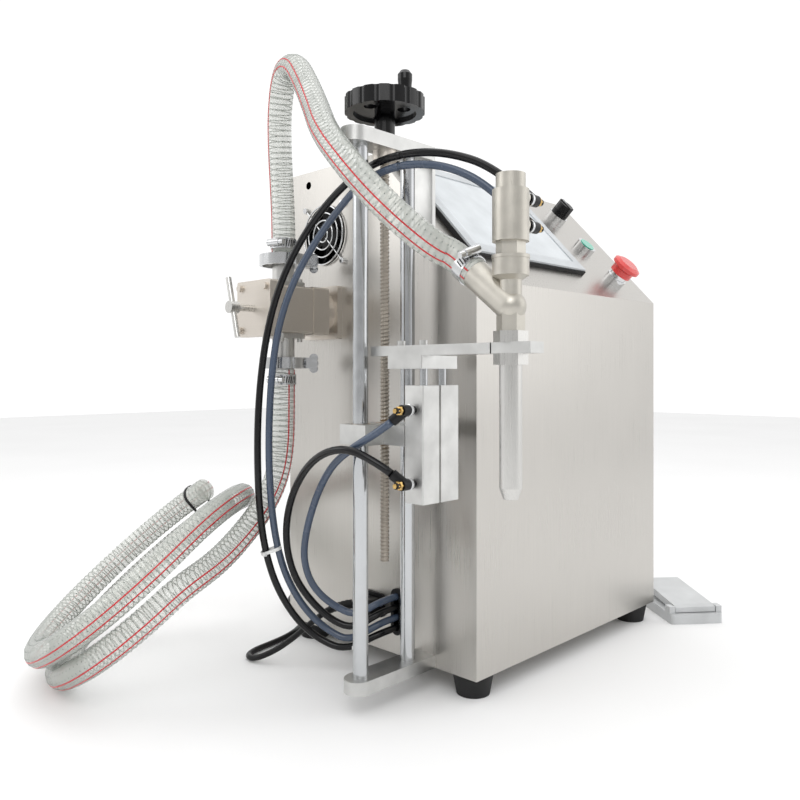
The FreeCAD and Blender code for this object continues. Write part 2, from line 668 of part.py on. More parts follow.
def pump_port(direction, ferrule_z):
    """A flanged tube from the pump block to a clamp ferrule. direction is 1 upwards or -1 downwards."""
    face = PUMP_Z + direction * PUMP_BLOCK / 2
    axis = UP * direction
    start = V(PORT_X, PUMP_Y, face)
    half = PORT_FLANGE / 2
    z = sorted((face, face + direction * PORT_FLANGE_T))
    flange = box((PORT_X - half, PORT_X + half), (PUMP_Y - half, PUMP_Y + half), z)
    flange = rounded(flange, 6, runs_along(UP))
    reach = abs(ferrule_z - face)
    tube = rod(start, axis, PORT_R, reach)
    lip = rod(V(PORT_X, PUMP_Y, ferrule_z - direction * FERRULE_T), axis, FERRULE_R, FERRULE_T)
    bolts = [rod(V(PORT_X + sx * 14, PUMP_Y + sy * 14, face + direction * PORT_FLANGE_T), axis, 3.2, 4)
             for sx in (-1, 1) for sy in (-1, 1)]
    return cut(fuse(flange, tube, lip, *bolts), rod(start, axis, PORT_BORE_R, reach + 1))


def hose_adapter(direction, ferrule_z):
    """The loose ferrule with its barbed tail, which the hose is pushed on."""
    axis = UP * direction
    start = V(PORT_X, PUMP_Y, ferrule_z)
    lip = rod(start, axis, FERRULE_R, FERRULE_T)
    neck = rod(start, axis, PORT_R - 0.5, 8)
    return cut(fuse(lip, neck), rod(start - axis, axis, PORT_BORE_R, BARB_LEN + 2))


def pump_ports():
    return Part.makeCompound([pump_port(-1, LOW_FERRULE_Z - 7.5), pump_port(1, HIGH_FERRULE_Z + 9.5),
                              hose_adapter(-1, LOW_FERRULE_Z - 7.5), hose_adapter(1, HIGH_FERRULE_Z + 9.5)])


def tri_clamp(z, way):
    """The two-piece clamp around a pair of ferrules, with lugs for its bolt."""
    low = V(PORT_X, PUMP_Y, z - TRI_CLAMP_T / 2)
    band = ring(low, UP, TRI_CLAMP_R, FERRULE_R + 0.2, TRI_CLAMP_T)
    way = V(way).normalize()
    side = UP.cross(way)
    lugs = []
    for s in (-1, 1):
        lug = Part.makeBox(15, 6, TRI_CLAMP_T, V(TRI_CLAMP_R - 3, -3 + s * 5, 0))
        lug.rotate(V(0, 0, 0), UP, math.degrees(math.atan2(way.y, way.x)))
        lug.translate(low)
        lugs.append(lug)
    slit = Part.makeBox(10, 4, TRI_CLAMP_T + 2, V(FERRULE_R - 2, -2, -1))
    slit.rotate(V(0, 0, 0), UP, math.degrees(math.atan2(way.y, way.x)))
    slit.translate(low)
    bolt_at = V(PORT_X, PUMP_Y, z) + way * (TRI_CLAMP_R + 7)
    hole = rod(bolt_at - side * 20, side, 3 + RUN_GAP, 40)
    return cut(fuse(band, *lugs), slit, hole)


def wing_nut(z, way):
    """The clamp's swing bolt with its wing nut."""
    way = V(way).normalize()
    side = UP.cross(way)
    bolt_at = V(PORT_X, PUMP_Y, z) + way * (TRI_CLAMP_R + 7)
    bolt = rod(bolt_at - side * 11, side, 3, 36)
    hub = rod(bolt_at + side * 8.5, side, 6, 13)
    wings = []
    for s in (-1, 1):
        wings.append(rod(bolt_at + side * 18 + UP * s * 6.5, side, 5.5, 4))
    return fuse(bolt, hub, rod(bolt_at - side * 11, side, 5, 2.5), *wings)


HIGH_CLAMP_WAY = V(0.75, -0.66, 0)
LOW_CLAMP_WAY = V(0.75, -0.66, 0)
HIGH_CLAMP_Z = HIGH_FERRULE_Z + 9.5
LOW_CLAMP_Z = LOW_FERRULE_Z - 7.5


def worm_clamp(at, axis, way):
    """A stainless band with its screw housing."""
    at, axis, way, inner = V(at), V(axis).normalize(), V(way).normalize(), HOSE_R + HOSE_GAP
    band = ring(at - axis * 6, axis, inner + 0.9, inner, 12)
    tangent = axis.cross(way)
    saddle = rod(at + way * (inner + 4.6) - tangent * 8, tangent, 4.2, 16)
    head = rod(at + way * (inner + 4.6) + tangent * 8, tangent, 3.2, 6)
    return cut(fuse(band, saddle, head), rod(at - axis * 20, axis, inner, 40))


HOSE_LOW_Z = LOW_CLAMP_Z - 8
HOSE_HIGH_Z = HIGH_CLAMP_Z + 8


def pump_hose_clamps():
    return Part.makeCompound([
        worm_clamp(V(PORT_X, PUMP_Y, HOSE_LOW_Z - 12), UP, V(-1, -0.3, 0)),
        worm_clamp(V(PORT_X, PUMP_Y, HOSE_HIGH_Z + 12), UP, V(-1, -0.3, 0)),
    ])


def nozzle_hose_clamp():
    before, mouth = V(*DISCHARGE_ROUTE[-2]), V(*DISCHARGE_ROUTE[-1])
    axis = (mouth - before).normalize()
    return worm_clamp(mouth - axis * 11, axis, V(-0.5, -0.8, 0.6).cross(axis).cross(-axis))


# ---------------------------------------------------------------- inside the cabinet
def servo_motor():
    """The drive motor and its gearbox behind the left side, on the pump's shaft."""
    z = rotor_axis_z(-1)
    x0 = SHEET + 40
    gearbox = box((x0, x0 + 60), (PUMP_Y - 40, PUMP_Y + 40), (z - 40, z + 40))
    motor = box((x0 + 60, x0 + 190), (PUMP_Y - 30, PUMP_Y + 30), (z - 30, z + 30))
    bracket = box((SHEET, x0), (PUMP_Y - 40, PUMP_Y + 40), (z - 40, z - 34))
    mouth = rod(V(x0 - 1, PUMP_Y, z), RIGHT, SHAFT_R + RUN_GAP, 20)
    return cut(fuse(gearbox, motor, bracket), mouth)


def shaft_coupling():
    """The clamp coupling on the pump's shaft, with the stub that enters the gearbox."""
    z = rotor_axis_z(-1)
    x0 = SHEET + 8.5
    return fuse(rod(V(x0, PUMP_Y, z), RIGHT, 12, 26), rod(V(x0, PUMP_Y, z), RIGHT, SHAFT_R, 44))


def cabinet_electrics():
    """The power supply, the controller and the two air valves on their manifold, all on the pan."""
    floor = FOOT_HEIGHT + PAN_T
    supply = box((200, 360), (120, 220), (floor, floor + 50))
    controller = box((60, 170), (200, 300), (floor, floor + 40))
    manifold = box((40, 120), (40, 80), (floor, floor + 12))
    valves = [box((44 + 36 * k, 72 + 36 * k), (44, 76), (floor + 12, floor + 60)) for k in range(2)]
    return Part.makeCompound([supply, controller, fuse(manifold, *valves)])


def power_inlet():
    y, z = INLET_AT
    flange = box((-3, 0), (y - 17, y + 17), (z - 14, z + 14))
    flange = rounded(flange, 5, runs_along(RIGHT))
    well = box((0, 24), (y - 13.3, y + 13.3), (z - 9.8, z + 9.8))
    socket = box((-4, 16), (y - 12, y + 12), (z - 8, z + 8))
    return cut(fuse(flange, well), socket)


def gland_slot(margin, x):
    """An upright slot around the row of four air tubes, this much wider than a tube all round."""
    y, z = GLAND_AT
    radius = TUBE_R + margin
    ends = [rod(V(x[0], y, z + s * GLAND_PITCH * 1.5), RIGHT, radius, x[1] - x[0]) for s in (-1, 1)]
    half = GLAND_PITCH * 1.5
    return fuse(box(x, (y - radius, y + radius), (z - half, z + half)), *ends)


def tube_gland():
    """The oval grommet where the four air tubes go in, one above another."""
    body = fuse(gland_slot(GLAND_SLEEVE + 3, (GLAND_OUT_X, 0)), gland_slot(GLAND_SLEEVE - 0.1, (0, 4)))
    return cut(body, gland_slot(0.3, (GLAND_OUT_X - 1, 5)))


# ---------------------------------------------------------------- control panel
def hmi_bezel():
    """The touch panel's moulded frame and body."""
    frame = panel_block(HMI_X, HMI_S, (0, HMI_PROUD))
    body = panel_block((HMI_X[0] + 9, HMI_X[1] - 9), (HMI_S[0] + 9, HMI_S[1] - 9), (-HMI_DEPTH, 0))
    view = panel_block((HMI_X[0] + HMI_FRAME, HMI_X[1] - HMI_FRAME), (HMI_S[0] + HMI_FRAME, HMI_S[1] - HMI_FRAME),
                       (HMI_PROUD - 2.5, HMI_PROUD + 1))
    return cut(fuse(frame, body), view)


def hmi_screen():
    return panel_block((HMI_X[0] + HMI_FRAME, HMI_X[1] - HMI_FRAME), (HMI_S[0] + HMI_FRAME, HMI_S[1] - HMI_FRAME),
                       (HMI_PROUD - 2.5, HMI_PROUD - 1.0))


def button_housing(name):
    """A 22 mm panel unit: chrome bezel outside, barrel and contact block inside."""
    s = BUTTON_S[name]
    collar = fuse(rod(on_panel(BUTTON_X, s, 0), PANEL_NORMAL, BEZEL_R, BEZEL_H),
                  rod(on_panel(BUTTON_X, s, -34), PANEL_NORMAL, PANEL_HOLE_R - 0.15, 34))
    block = panel_block((BUTTON_X - 14, BUTTON_X + 14), (s - 14, s + 14), (-50, -34))
    unit = fuse(collar, block)
    if name == "estop":
        unit = fuse(unit, rod(on_panel(BUTTON_X, s, BEZEL_H), PANEL_NORMAL, ESTOP_COLLAR_R, ESTOP_COLLAR_H))
    if name == "start":
        sink = START_PRESS + START_CAP_T
        unit = cut(unit, rod(on_panel(BUTTON_X, s, BEZEL_H - sink), PANEL_NORMAL, START_CAP_R + RUN_GAP, sink + 1))
    return cut(unit, rod(on_panel(BUTTON_X, s, -20), PANEL_NORMAL, BUTTON_STEM_R + RUN_GAP, 60))


def button_stem(s, top):
    return rod(on_panel(BUTTON_X, s, -12), PANEL_NORMAL, BUTTON_STEM_R, top + 12)


def selector_knob():
    s = BUTTON_S["selector"]
    base = rod(on_panel(BUTTON_X, s, BEZEL_H + RUN_GAP), PANEL_NORMAL, 12.5, 5)
    grip = panel_block((BUTTON_X - 4, BUTTON_X + 4), (s - 12, s + 12), (BEZEL_H + 5, BEZEL_H + 19))
    return fuse(base, button_stem(s, BEZEL_H + 2), rod(on_panel(BUTTON_X, s, BEZEL_H + 4), PANEL_NORMAL, 11, 14), grip)


def start_button_cap():
    s = BUTTON_S["start"]
    low = BEZEL_H - START_CAP_T + 0.9
    return fuse(button_stem(s, low + 1), rod(on_panel(BUTTON_X, s, low), PANEL_NORMAL, START_CAP_R, START_CAP_T))


def estop_head():
    """The mushroom head, whose hollow skirt slides down over the chrome collar."""
    s = BUTTON_S["estop"]
    low = BEZEL_H + ESTOP_PRESS + RUN_GAP
    roof = low + ESTOP_COLLAR_H
    skirt_r = ESTOP_COLLAR_R + RUN_GAP + 3.0
    head = fuse(rod(on_panel(BUTTON_X, s, low), PANEL_NORMAL, skirt_r, roof - low + 2),
                cone(on_panel(BUTTON_X, s, roof), PANEL_NORMAL, skirt_r, ESTOP_R, 3),
                rod(on_panel(BUTTON_X, s, roof + 3), PANEL_NORMAL, ESTOP_R, 4.6),
                cone(on_panel(BUTTON_X, s, roof + 7.6), PANEL_NORMAL, ESTOP_R, ESTOP_R - 6, 3))
    head = cut(head, rod(on_panel(BUTTON_X, s, low - 1), PANEL_NORMAL, ESTOP_COLLAR_R + RUN_GAP, roof - low + 1))
    return fuse(head, button_stem(s, roof + 1))


# ---------------------------------------------------------------- foot pedal
def pedal_place(shape):
    shape.rotate(V(0, 0, 0), UP, PEDAL_TURN)
    shape.translate(V(PEDAL_AT[0], PEDAL_AT[1], 0))
    return shape


PEDAL_PIVOT = V(0, -PEDAL_L / 2 + 12, PEDAL_BASE_H + 2)


def pedal_base():
    half_w, half_l = PEDAL_W / 2, PEDAL_L / 2
    base = rounded(box((-half_w, half_w), (-half_l, half_l), (0, PEDAL_BASE_H)), 6, runs_along(UP))
    y = PEDAL_PIVOT.y
    ears = [box((s * (half_w - 4) - 4, s * (half_w - 4) + 4), (y - 7, y + 7), (0, PEDAL_BASE_H + 9)) for s in (-1, 1)]
    pin = rod(V(-half_w, y, PEDAL_PIVOT.z), RIGHT, 2.5, PEDAL_W)
    return pedal_place(fuse(base, pin, *ears))


def pedal_treadle():
    half_w, half_l = PEDAL_W / 2 - 9, PEDAL_L / 2
    y0, z0 = PEDAL_PIVOT.y, PEDAL_PIVOT.z
    side = [V(-half_w, y0 - 6, z0 - 1), V(-half_w, y0 + 6, z0 - 1), V(-half_w, half_l, z0 + 8),
            V(-half_w, half_l, z0 + 17), V(-half_w, y0 + 2, z0 + 8), V(-half_w, y0 - 6, z0 + 6)]
    plate = Part.Face(Part.makePolygon(side + side[:1])).extrude(RIGHT * 2 * half_w)
    return pedal_place(cut(plate, rod(V(-PEDAL_W, y0, z0), RIGHT, 2.5 + RUN_GAP, 2 * PEDAL_W)))


# ---------------------------------------------------------------- hoses, tubes and cord
BRANCH_MOUTH = BRANCH_ROOT + BRANCH_DIR * BRANCH_LEN
DISCHARGE_ROUTE = [
    (PORT_X, PUMP_Y, HOSE_HIGH_Z), (PORT_X, PUMP_Y, 532), (-67, 248, 576), (-70, 248, 620), (-76, 241, 662),
    (-86, 219, 702), (-96, 184, 700), (-106, 151, 664), (-122, 116, 627), (-141, 81, 591), (-147, 45, 556),
    (-140, 13, 520), (-122, -12, 490), (-96, -28, 468), tuple(BRANCH_MOUTH + BRANCH_DIR * 34),
    tuple(BRANCH_MOUTH + BRANCH_DIR * HOSE_GAP),
]

TUBE_ROUTES = {
    "air_tubes_nozzle": [
        tube_start(ACT_MOUTHS[1], RIGHT, ACT_TUBE_WAY) + [
            (-52, -50, 552), (-64, -24, 563), (-74, 2, 569), (-81, 33, 571), (-82, 70, 569), (-80, 108, 560),
            (-84, 144, 538), (-98, 172, 500), (-113, 190, 452), (-122, 201, 402), (-127, 207, 350), (-130, 209, 298),
            (-131, 208, 246), (-129, 207, 196), (-121, 207, 148), (-106, 205, 104), (-86, 194, 66), (-68, 176, 44),
            (-52, 148, 34)] + tube_end(-1.5),
        tube_start(ACT_MOUTHS[0], RIGHT, ACT_TUBE_WAY) + [
            (-53, -50, 533), (-63, -28, 547), (-73, -3, 556), (-80, 31, 560.5), (-81, 66, 558), (-79, 101, 549),
            (-78, 132, 530), (-90, 159, 495), (-105, 180, 449), (-115, 192, 400), (-119, 198, 349), (-121, 200, 298),
            (-122, 199, 247), (-120, 197, 199), (-112, 197, 153), (-98, 195, 112), (-80, 184, 77), (-64, 166, 56),
            (-50, 143, 45)] + tube_end(-0.5),
    ],
    "air_tubes_cylinder": [
        tube_start(CYL_PORTS[0], -RIGHT, CYL_TUBE_WAYS[0]) + [
            (-121, 58, 277), (-120, 88, 260), (-113, 115, 238), (-107, 138, 210), (-103, 156, 178), (-98, 168, 146),
            (-88, 170, 118), (-75, 165, 98), (-60, 151, 83), (-48, 134, 76)] + tube_end(1.5),
        tube_start(CYL_PORTS[1], -RIGHT, CYL_TUBE_WAYS[1]) + [
            (-130, 54, 276), (-134, 84, 272), (-132, 113, 258), (-127, 140, 236), (-121, 162, 210), (-115, 177, 181),
            (-108, 184, 150), (-97, 184, 119), (-81, 177, 92), (-64, 160, 69), (-49, 138, 60)
        ] + tube_end(0.5),
    ],
}


def air_tubes(node):
    return Part.makeCompound([bent_tube(route, TUBE_R, f"{node} {k}") for k, route in enumerate(TUBE_ROUTES[node])])


SUCTION_ROUTE = [
    (PORT_X, PUMP_Y, HOSE_LOW_Z), (PORT_X, PUMP_Y, 310), (-66, 247, 262), (-76, 246, 222), (-100, 242, 190),
    (-136, 230, 166), (-178, 217, 144), (-218, 206, 123),
]
LOOPS_CENTRE = V(-195, 338, 118)
LOOPS_UP = V(-0.56, 0.33, 0.76)
LOOPS_R = 138.0
LOOPS_STEP = 16.5


def suction_hose():
    """The hose from the pump's lower port down to where it joins the loops."""
    return bent_tube(SUCTION_ROUTE, HOSE_R, "suction hose")


def suction_loops():
    """The outer shape of the hose's two loops, which lean from the table up to their tie."""
    section = fuse(Part.Face(Part.Wire(Part.makeCircle(HOSE_R, V(LOOPS_R, 0, -LOOPS_STEP), BACK))),
                   Part.Face(Part.Wire(Part.makeCircle(HOSE_R, V(LOOPS_R, 0, LOOPS_STEP), BACK))),
                   Part.Face(Part.makePolygon([V(LOOPS_R + sx * HOSE_R, 0, sz * LOOPS_STEP)
                                               for sx, sz in ((-1, -1), (1, -1), (1, 1), (-1, 1), (-1, -1))])))
    loops = section.Faces[0].revolve(V(0, 0, 0), UP, 360)
    loops.Placement = FreeCAD.Placement(LOOPS_CENTRE, FreeCAD.Rotation(UP, LOOPS_UP))
    return cut(loops, suction_hose())


CORD_ROUTE = [
    (-26, 166, 78), (-38, 178, 76), (-50, 192, 66), (-60, 208, 50), (-70, 226, 32), (-80, 246, 16),
    (-94, 266, 5), (-93, 284, 4.2), (-74, 294, 4.2), (-50, 298, 4), (-22, 303, 4.2), (6, 314, 4), (32, 332, 4.4),
    (51, 349, 5.5), (67, 366, 7.5),
]
COIL_AT = V(110, 388, 0)
COIL_R = 38.0
COIL_HALF_W = 12.0
COIL_H = 15.0
PLUG_TAIL = 14.0
PLUG_SIDE = 24.0


def power_cord():
    return bent_tube(CORD_ROUTE, CORD_R, "power cord")


def power_cord_coil():
    """The outer shape of the cord's put-away turns behind the cabinet."""
    turns = ring(COIL_AT + UP * 0.2, UP, COIL_R + COIL_HALF_W, COIL_R - COIL_HALF_W, COIL_H)
    return cut(turns, power_cord())


def cord_connectors():
    """The appliance connector at the inlet and the moulded mains plug by the coil."""
    y, z = INLET_AT
    nose = box((-5.5, 14), (y - 11.5, y + 11.5), (z - 7.5, z + 7.5))
    grip = box((-20, -5.5), (y - 13, y + 13), (z - 9.5, z + 9.5))
    front = rounded(fuse(nose, grip), 2, runs_along(RIGHT))
    way = V(-0.68, 0.7, -0.1).normalize()
    relief = cone(V(-14, y + 1, z + 1), way, 6.5, 4.6, 16)
    x0 = COIL_AT.x + COIL_R + COIL_HALF_W + PLUG_TAIL - 3.5
    y0, z0 = COIL_AT.y + PLUG_SIDE, 15
    plug = rounded(box((x0, x0 + 36), (y0 - 15, y0 + 15), (0, 2 * z0)), 4, runs_along(RIGHT))
    pins = [rod(V(x0 + 36, y0 + 9.5 * s, z0), RIGHT, 2.4, 19) for s in (-1, 1)]
    tail = cone(V(x0, y0, z0), -RIGHT, 6.5, 4.6, PLUG_TAIL)
    return Part.makeCompound([fuse(front, relief), fuse(plug, tail, *pins)])


NODES = {
    "cabinet_shell": cabinet_shell,
    "base_pan": base_pan,
    "feet": feet,
    "guide_column_left": lambda: column(COLUMN_X[0]),
    "guide_column_right": lambda: column(COLUMN_X[1]),
    "column_top_plate": top_plate,
    "column_foot_plate": foot_plate,
    "column_side_bar": side_bar,
    "screw_bearing": screw_bearing,
    "lead_screw": lead_screw,
    "handwheel": handwheel,
    "wheel_handle": wheel_handle,
    "carriage": carriage,
    "carriage_bushes": carriage_bushes,
    "cylinder_body": cylinder_body,
    "cylinder_rods": cylinder_rods,
    "cylinder_fittings": cylinder_fittings,
    "cylinder_end_plate": cylinder_end_plate,
    "nozzle_arm": nozzle_arm,
    "nozzle_tube": nozzle_tube,
    "valve_body": valve_body,
    "valve_actuator": actuator,
    "actuator_fittings": actuator_fittings,
    "valve_stem": valve_stem,
    "fan_frame": fan_frame,
    "fan_rotor": fan_rotor,
    "fan_guard": fan_guard,
    "pump_mount_plate": pump_mount_plate,
    "pump_end_cover": pump_end_cover,
    "pump_housing": pump_housing,
    "pump_front_plate": pump_front_plate,
    "pump_t_handle": pump_t_handle,
    "pump_rotor_drive": lambda: fuse(lobe_rotor(-1), shaft_coupling()),
    "pump_rotor_idler": lambda: lobe_rotor(1),
    "pump_ports": pump_ports,
    "tri_clamp_high": lambda: tri_clamp(HIGH_CLAMP_Z, HIGH_CLAMP_WAY),
    "tri_clamp_low": lambda: tri_clamp(LOW_CLAMP_Z, LOW_CLAMP_WAY),
    "wing_nut_high": lambda: wing_nut(HIGH_CLAMP_Z, HIGH_CLAMP_WAY),
    "wing_nut_low": lambda: wing_nut(LOW_CLAMP_Z, LOW_CLAMP_WAY),
    "pump_hose_clamps": pump_hose_clamps,
    "nozzle_hose_clamp": nozzle_hose_clamp,
    "servo_motor": servo_motor,
    "cabinet_electrics": cabinet_electrics,
    "side_inlets": lambda: Part.makeCompound([power_inlet(), tube_gland()]),
    "hmi_bezel": hmi_bezel,
    "hmi_screen": hmi_screen,
    "button_housings": lambda: Part.makeCompound([button_housing(name) for name in BUTTON_S]),
    "selector_knob": selector_knob,
    "start_button_cap": start_button_cap,
    "estop_head": estop_head,
    "pedal_base": pedal_base,
    "pedal_treadle": pedal_treadle,
    "discharge_hose": lambda: bent_tube(DISCHARGE_ROUTE, HOSE_R, "discharge hose"),
    "air_tubes_nozzle": lambda: air_tubes("air_tubes_nozzle"),
    "air_tubes_cylinder": lambda: air_tubes("air_tubes_cylinder"),
    "suction_hose": suction_hose,
    "suction_hose_loops": suction_loops,
    "power_cord": power_cord,
    "power_cord_coil": power_cord_coil,
    "cord_connectors": cord_connectors,
}


def main():
    os.makedirs("parts", exist_ok=True)
    for node, make in NODES.items():
        shape = make()
        shape.translate(ORIGIN_SHIFT)
        if not shape.isValid():
            print(node, "is not valid")
        shape.exportStep(f"parts/{node}.step")
    print(len(NODES), "nodes")


if __name__ == "__main__":
    main()
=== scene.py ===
"""Bench-top liquid filler: the looks around the fixed frame. All sizes are in metres unless a name says mm."""
import math
import bmesh
import bpy
import numpy as np
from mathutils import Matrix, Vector


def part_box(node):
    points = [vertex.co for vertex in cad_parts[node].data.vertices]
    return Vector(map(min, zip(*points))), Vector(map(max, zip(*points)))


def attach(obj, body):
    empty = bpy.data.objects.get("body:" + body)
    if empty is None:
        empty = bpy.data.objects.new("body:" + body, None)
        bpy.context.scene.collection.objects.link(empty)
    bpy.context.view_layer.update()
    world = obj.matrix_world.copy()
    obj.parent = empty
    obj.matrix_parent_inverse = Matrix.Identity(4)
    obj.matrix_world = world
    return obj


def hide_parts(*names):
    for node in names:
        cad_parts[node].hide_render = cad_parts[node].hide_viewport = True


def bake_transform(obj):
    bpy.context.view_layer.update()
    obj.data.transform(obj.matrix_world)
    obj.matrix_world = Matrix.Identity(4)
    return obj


bl_info = {
    "name": "Bench-top liquid filler",
    "version": (1, 0, 0),
    "blender": (4, 5, 0),
    "location": "View3D > Sidebar > Filler",
    "description": "Builds the hoses, cord, thread, trims and finishes of a bench-top liquid filler",
    "category": "Add Mesh",
}

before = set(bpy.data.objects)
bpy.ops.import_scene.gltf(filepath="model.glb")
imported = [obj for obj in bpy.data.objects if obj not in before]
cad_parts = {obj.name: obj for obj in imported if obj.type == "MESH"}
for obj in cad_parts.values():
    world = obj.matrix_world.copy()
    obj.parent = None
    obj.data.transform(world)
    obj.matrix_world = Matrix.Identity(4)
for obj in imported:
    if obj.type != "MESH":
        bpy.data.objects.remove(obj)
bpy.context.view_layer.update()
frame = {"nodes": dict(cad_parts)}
NODES = frame["nodes"]
# mm from the cabinet's corner to the middle of its nearest foot, where the frame has its origin
FOOT_INSET = 24.0


def at(x, y, z):
    """A point measured in mm from the cabinet's front-left corner, as metres in the frame."""
    return Vector(((x - FOOT_INSET) / 1000, (y - FOOT_INSET) / 1000, z / 1000))


# ---------------------------------------------------------------- routes, the same points as the solids follow
DISCHARGE_ROUTE = [
    (-66, 246, 494.5), (-66, 246, 532), (-67, 248, 576), (-70, 248, 620), (-76, 241, 662), (-86, 219, 702),
    (-96, 184, 700), (-106, 151, 664), (-122, 116, 627), (-141, 81, 591), (-147, 45, 556), (-140, 13, 520),
    (-122, -12, 490), (-96, -28, 468), (-81, -37.7, 462.4), (-81, -63.9, 441.2),
]
SUCTION_ROUTE = [
    (-66, 246, 354.5), (-66, 246, 310), (-66, 247, 262), (-76, 246, 222), (-100, 242, 190), (-136, 230, 166),
    (-178, 217, 144), (-218, 206, 123),
]
LOOPS_CENTRE = Vector((-195, 338, 118))
LOOPS_UP = Vector((-0.56, 0.33, 0.76)).normalized()
LOOPS_FLAT = Vector((0.33, 0.56, 0)).normalized()
LOOPS_STEEP = Vector((0.6547, -0.3859, 0.650)).normalized()
LOOPS_R = 138.0
# half the distance between the two turns, mm
LOOPS_STEP = 16.5
# control points stand this much outside the smooth line that they make
LOOPS_REACH = 1.006
LOOPS_POINTS, LOOPS_FROM, LOOPS_STRIDE = 45, -75, 13.7
# degrees along the loops where the hose starts to cross to its second turn, and degrees that it takes
CROSSING_FROM, CROSSING_TAKES = 330, 90
LOOPS_TIE_AT = 52
NOZZLE_TUBES = [
    [(-45.9, -90.2, 519.6), (-44.7, -81.2, 527.4), (-52, -50, 552), (-64, -24, 563), (-74, 2, 569), (-81, 33, 571),
     (-82, 70, 569), (-80, 108, 560), (-84, 144, 538), (-98, 172, 500), (-113, 190, 452), (-122, 201, 402),
     (-127, 207, 350), (-130, 209, 298), (-131, 208, 246), (-129, 207, 196), (-121, 207, 148), (-106, 205, 104),
     (-86, 194, 66), (-68, 176, 44), (-52, 148, 34), (-27, 116, 56), (1.5, 116, 56)],
    [(-45.9, -90.2, 495.1), (-44.7, -81.2, 502.9), (-53, -50, 533), (-63, -28, 547), (-73, -3, 556),
     (-80, 31, 560.5), (-81, 66, 558), (-79, 101, 549), (-78, 132, 530), (-90, 159, 495), (-105, 180, 449),
     (-115, 192, 400), (-119, 198, 349), (-121, 200, 298), (-122, 199, 247), (-120, 197, 199), (-112, 197, 153),
     (-98, 195, 112), (-80, 184, 77), (-64, 166, 56), (-50, 143, 45), (-27, 116, 68), (1.5, 116, 68)],
]
CYLINDER_TUBES = [
    [(-108.8, 17.7, 303.3), (-114.2, 25.2, 295.8), (-121, 58, 277), (-120, 88, 260), (-113, 115, 238),
     (-107, 138, 210), (-103, 156, 178), (-98, 168, 146), (-88, 170, 118), (-75, 165, 98), (-60, 151, 83),
     (-48, 134, 76), (-27, 116, 92), (1.5, 116, 92)],
    [(-110.4, 16.4, 252.6), (-117, 23, 260.1), (-130, 54, 276), (-134, 84, 272), (-132, 113, 258),
     (-127, 140, 236), (-121, 162, 210), (-115, 177, 181), (-108, 184, 150), (-97, 184, 119), (-81, 177, 92),
     (-64, 160, 69), (-49, 138, 60), (-27, 116, 80), (1.5, 116, 80)],
]
CORD_ROUTE = [
    (-26, 166, 78), (-38, 178, 76), (-50, 192, 66), (-60, 208, 50), (-70, 226, 32), (-80, 246, 16),
    (-94, 266, 5), (-93, 284, 4.2), (-74, 294, 4.2), (-50, 298, 4), (-22, 303, 4.2), (6, 314, 4), (32, 332, 4),
    (51, 349, 4), (62, 366, 4),
]
COIL_AT = Vector((110, 388, 0))
# the put-away cord: turns in each layer, points in each turn, radii and heights in mm
COIL_TURNS, COIL_POINTS = 2.565, 14
COIL_OUTER, COIL_INNER, COIL_SPAN = 46.6, 28.8, 17.8
COIL_HEIGHTS = (4, 11)
# degrees where the coil starts, and the share of a turn in which it climbs to its upper layer
COIL_FROM, COIL_CLIMB = 185, 0.12
CORD_RADIUS = 0.0035
# the ribbed relief, in mm: one ring each mm, its root radius, taper for each mm and rib height
RELIEF_RINGS, RELIEF_ROOT, RELIEF_TAPER, RELIEF_RIB = 34, 5.4, 0.045, 0.35
HOSE_RADIUS = 14.5
# metres between the rings of a hose's wall
HOSE_STEP = 0.004
WIRE_POINTS = 12
# a marker line's outline: angle from its middle, and metres proud of the hose
MARKER_OUTLINE = ((0.05, -0.0006), (-0.05, -0.0006), (-0.05, 0.0002), (0.05, 0.0002))
AIR_TUBE_RADIUS = 4.0
# a slot in a worm clamp's band, drawn as a black block that paints the shade inside the slot: its depths, ends and
# sides in mm, and how far it slants
SLOT_DEPTHS, SLOT_ENDS, SLOT_SIDES, SLOT_SLANT = (-0.3, 0.12), (-3.9, 3.9), (-0.62, 0.62), 0.16
SLOT_COUNT, SLOT_PITCH, CLAMP_BAND = 26, 3.0, 1.2
TIE_THICK = 1.1
CREASE_DEGREES = 35.0
# the lead screw, in metres: its radius, the step between its rings and the depth of its thread
SCREW_RADIUS, SCREW_STEP, THREAD_DEPTH = 0.005, 0.0004, 0.0009
SCREW_SIDES = 24
# how steep the thread's flanks are, and how wide its crests
THREAD_FLANK, THREAD_CREST = 5, 0.75
# the sloped panel: its angle, and the height of its front edge in mm
TILT = math.atan2(162.0, 152.0)
SHOULDER_Z = 450.0
# the gasket's four black strips, as tall as the frame's side walls so that their black also paints the shade on them:
# pairs of places across and up the panel, and how far they stand proud
GASKET_AND_SHADE_STRIPS = (((22.3, 24.2), (40.3, 209.7)), ((257.8, 259.7), (40.3, 209.7)),
                 ((22.3, 259.7), (40.3, 42.2)), ((22.3, 259.7), (207.8, 209.7)))
GASKET_AND_SHADE_PROUD = (0.05, 5.6)
SELECTOR_MARK = ((330.0, 332.0), (173.5, 183.0), (29.0, 29.35))
TO_VIEWER = Vector((-0.72, -0.69, -0.1)).normalized()
TO_LEFT = Vector((-0.85, -0.35, -0.35)).normalized()

# ---------------------------------------------------------------- the stage
CAMERA_AT, CAMERA_WAY = (-0.6642, -0.5340, 0.3497), (0.7169, 0.6972, 0)
CAMERA_LENS, CAMERA_SENSOR, CAMERA_SHIFT = 34.76, 36.0, -0.033
SKY_STRENGTH = 1.08
SKY_WAY = (0.358, 0.348, 0.4)
# each lamp's name, place, size and power
LAMPS = (("key", (-1.5, -1.1, 1.9), 1.4, 15.0), ("fill", (1.3, -1.5, 1.0), 1.6, 5.0),
         ("top", (0.1, 0.3, 2.3), 1.8, 9.0), ("rim", (-1.5, 1.3, 1.3), 1.0, 5.0))
LAMPS_AIM = (0.05, 0.1, 0.3)
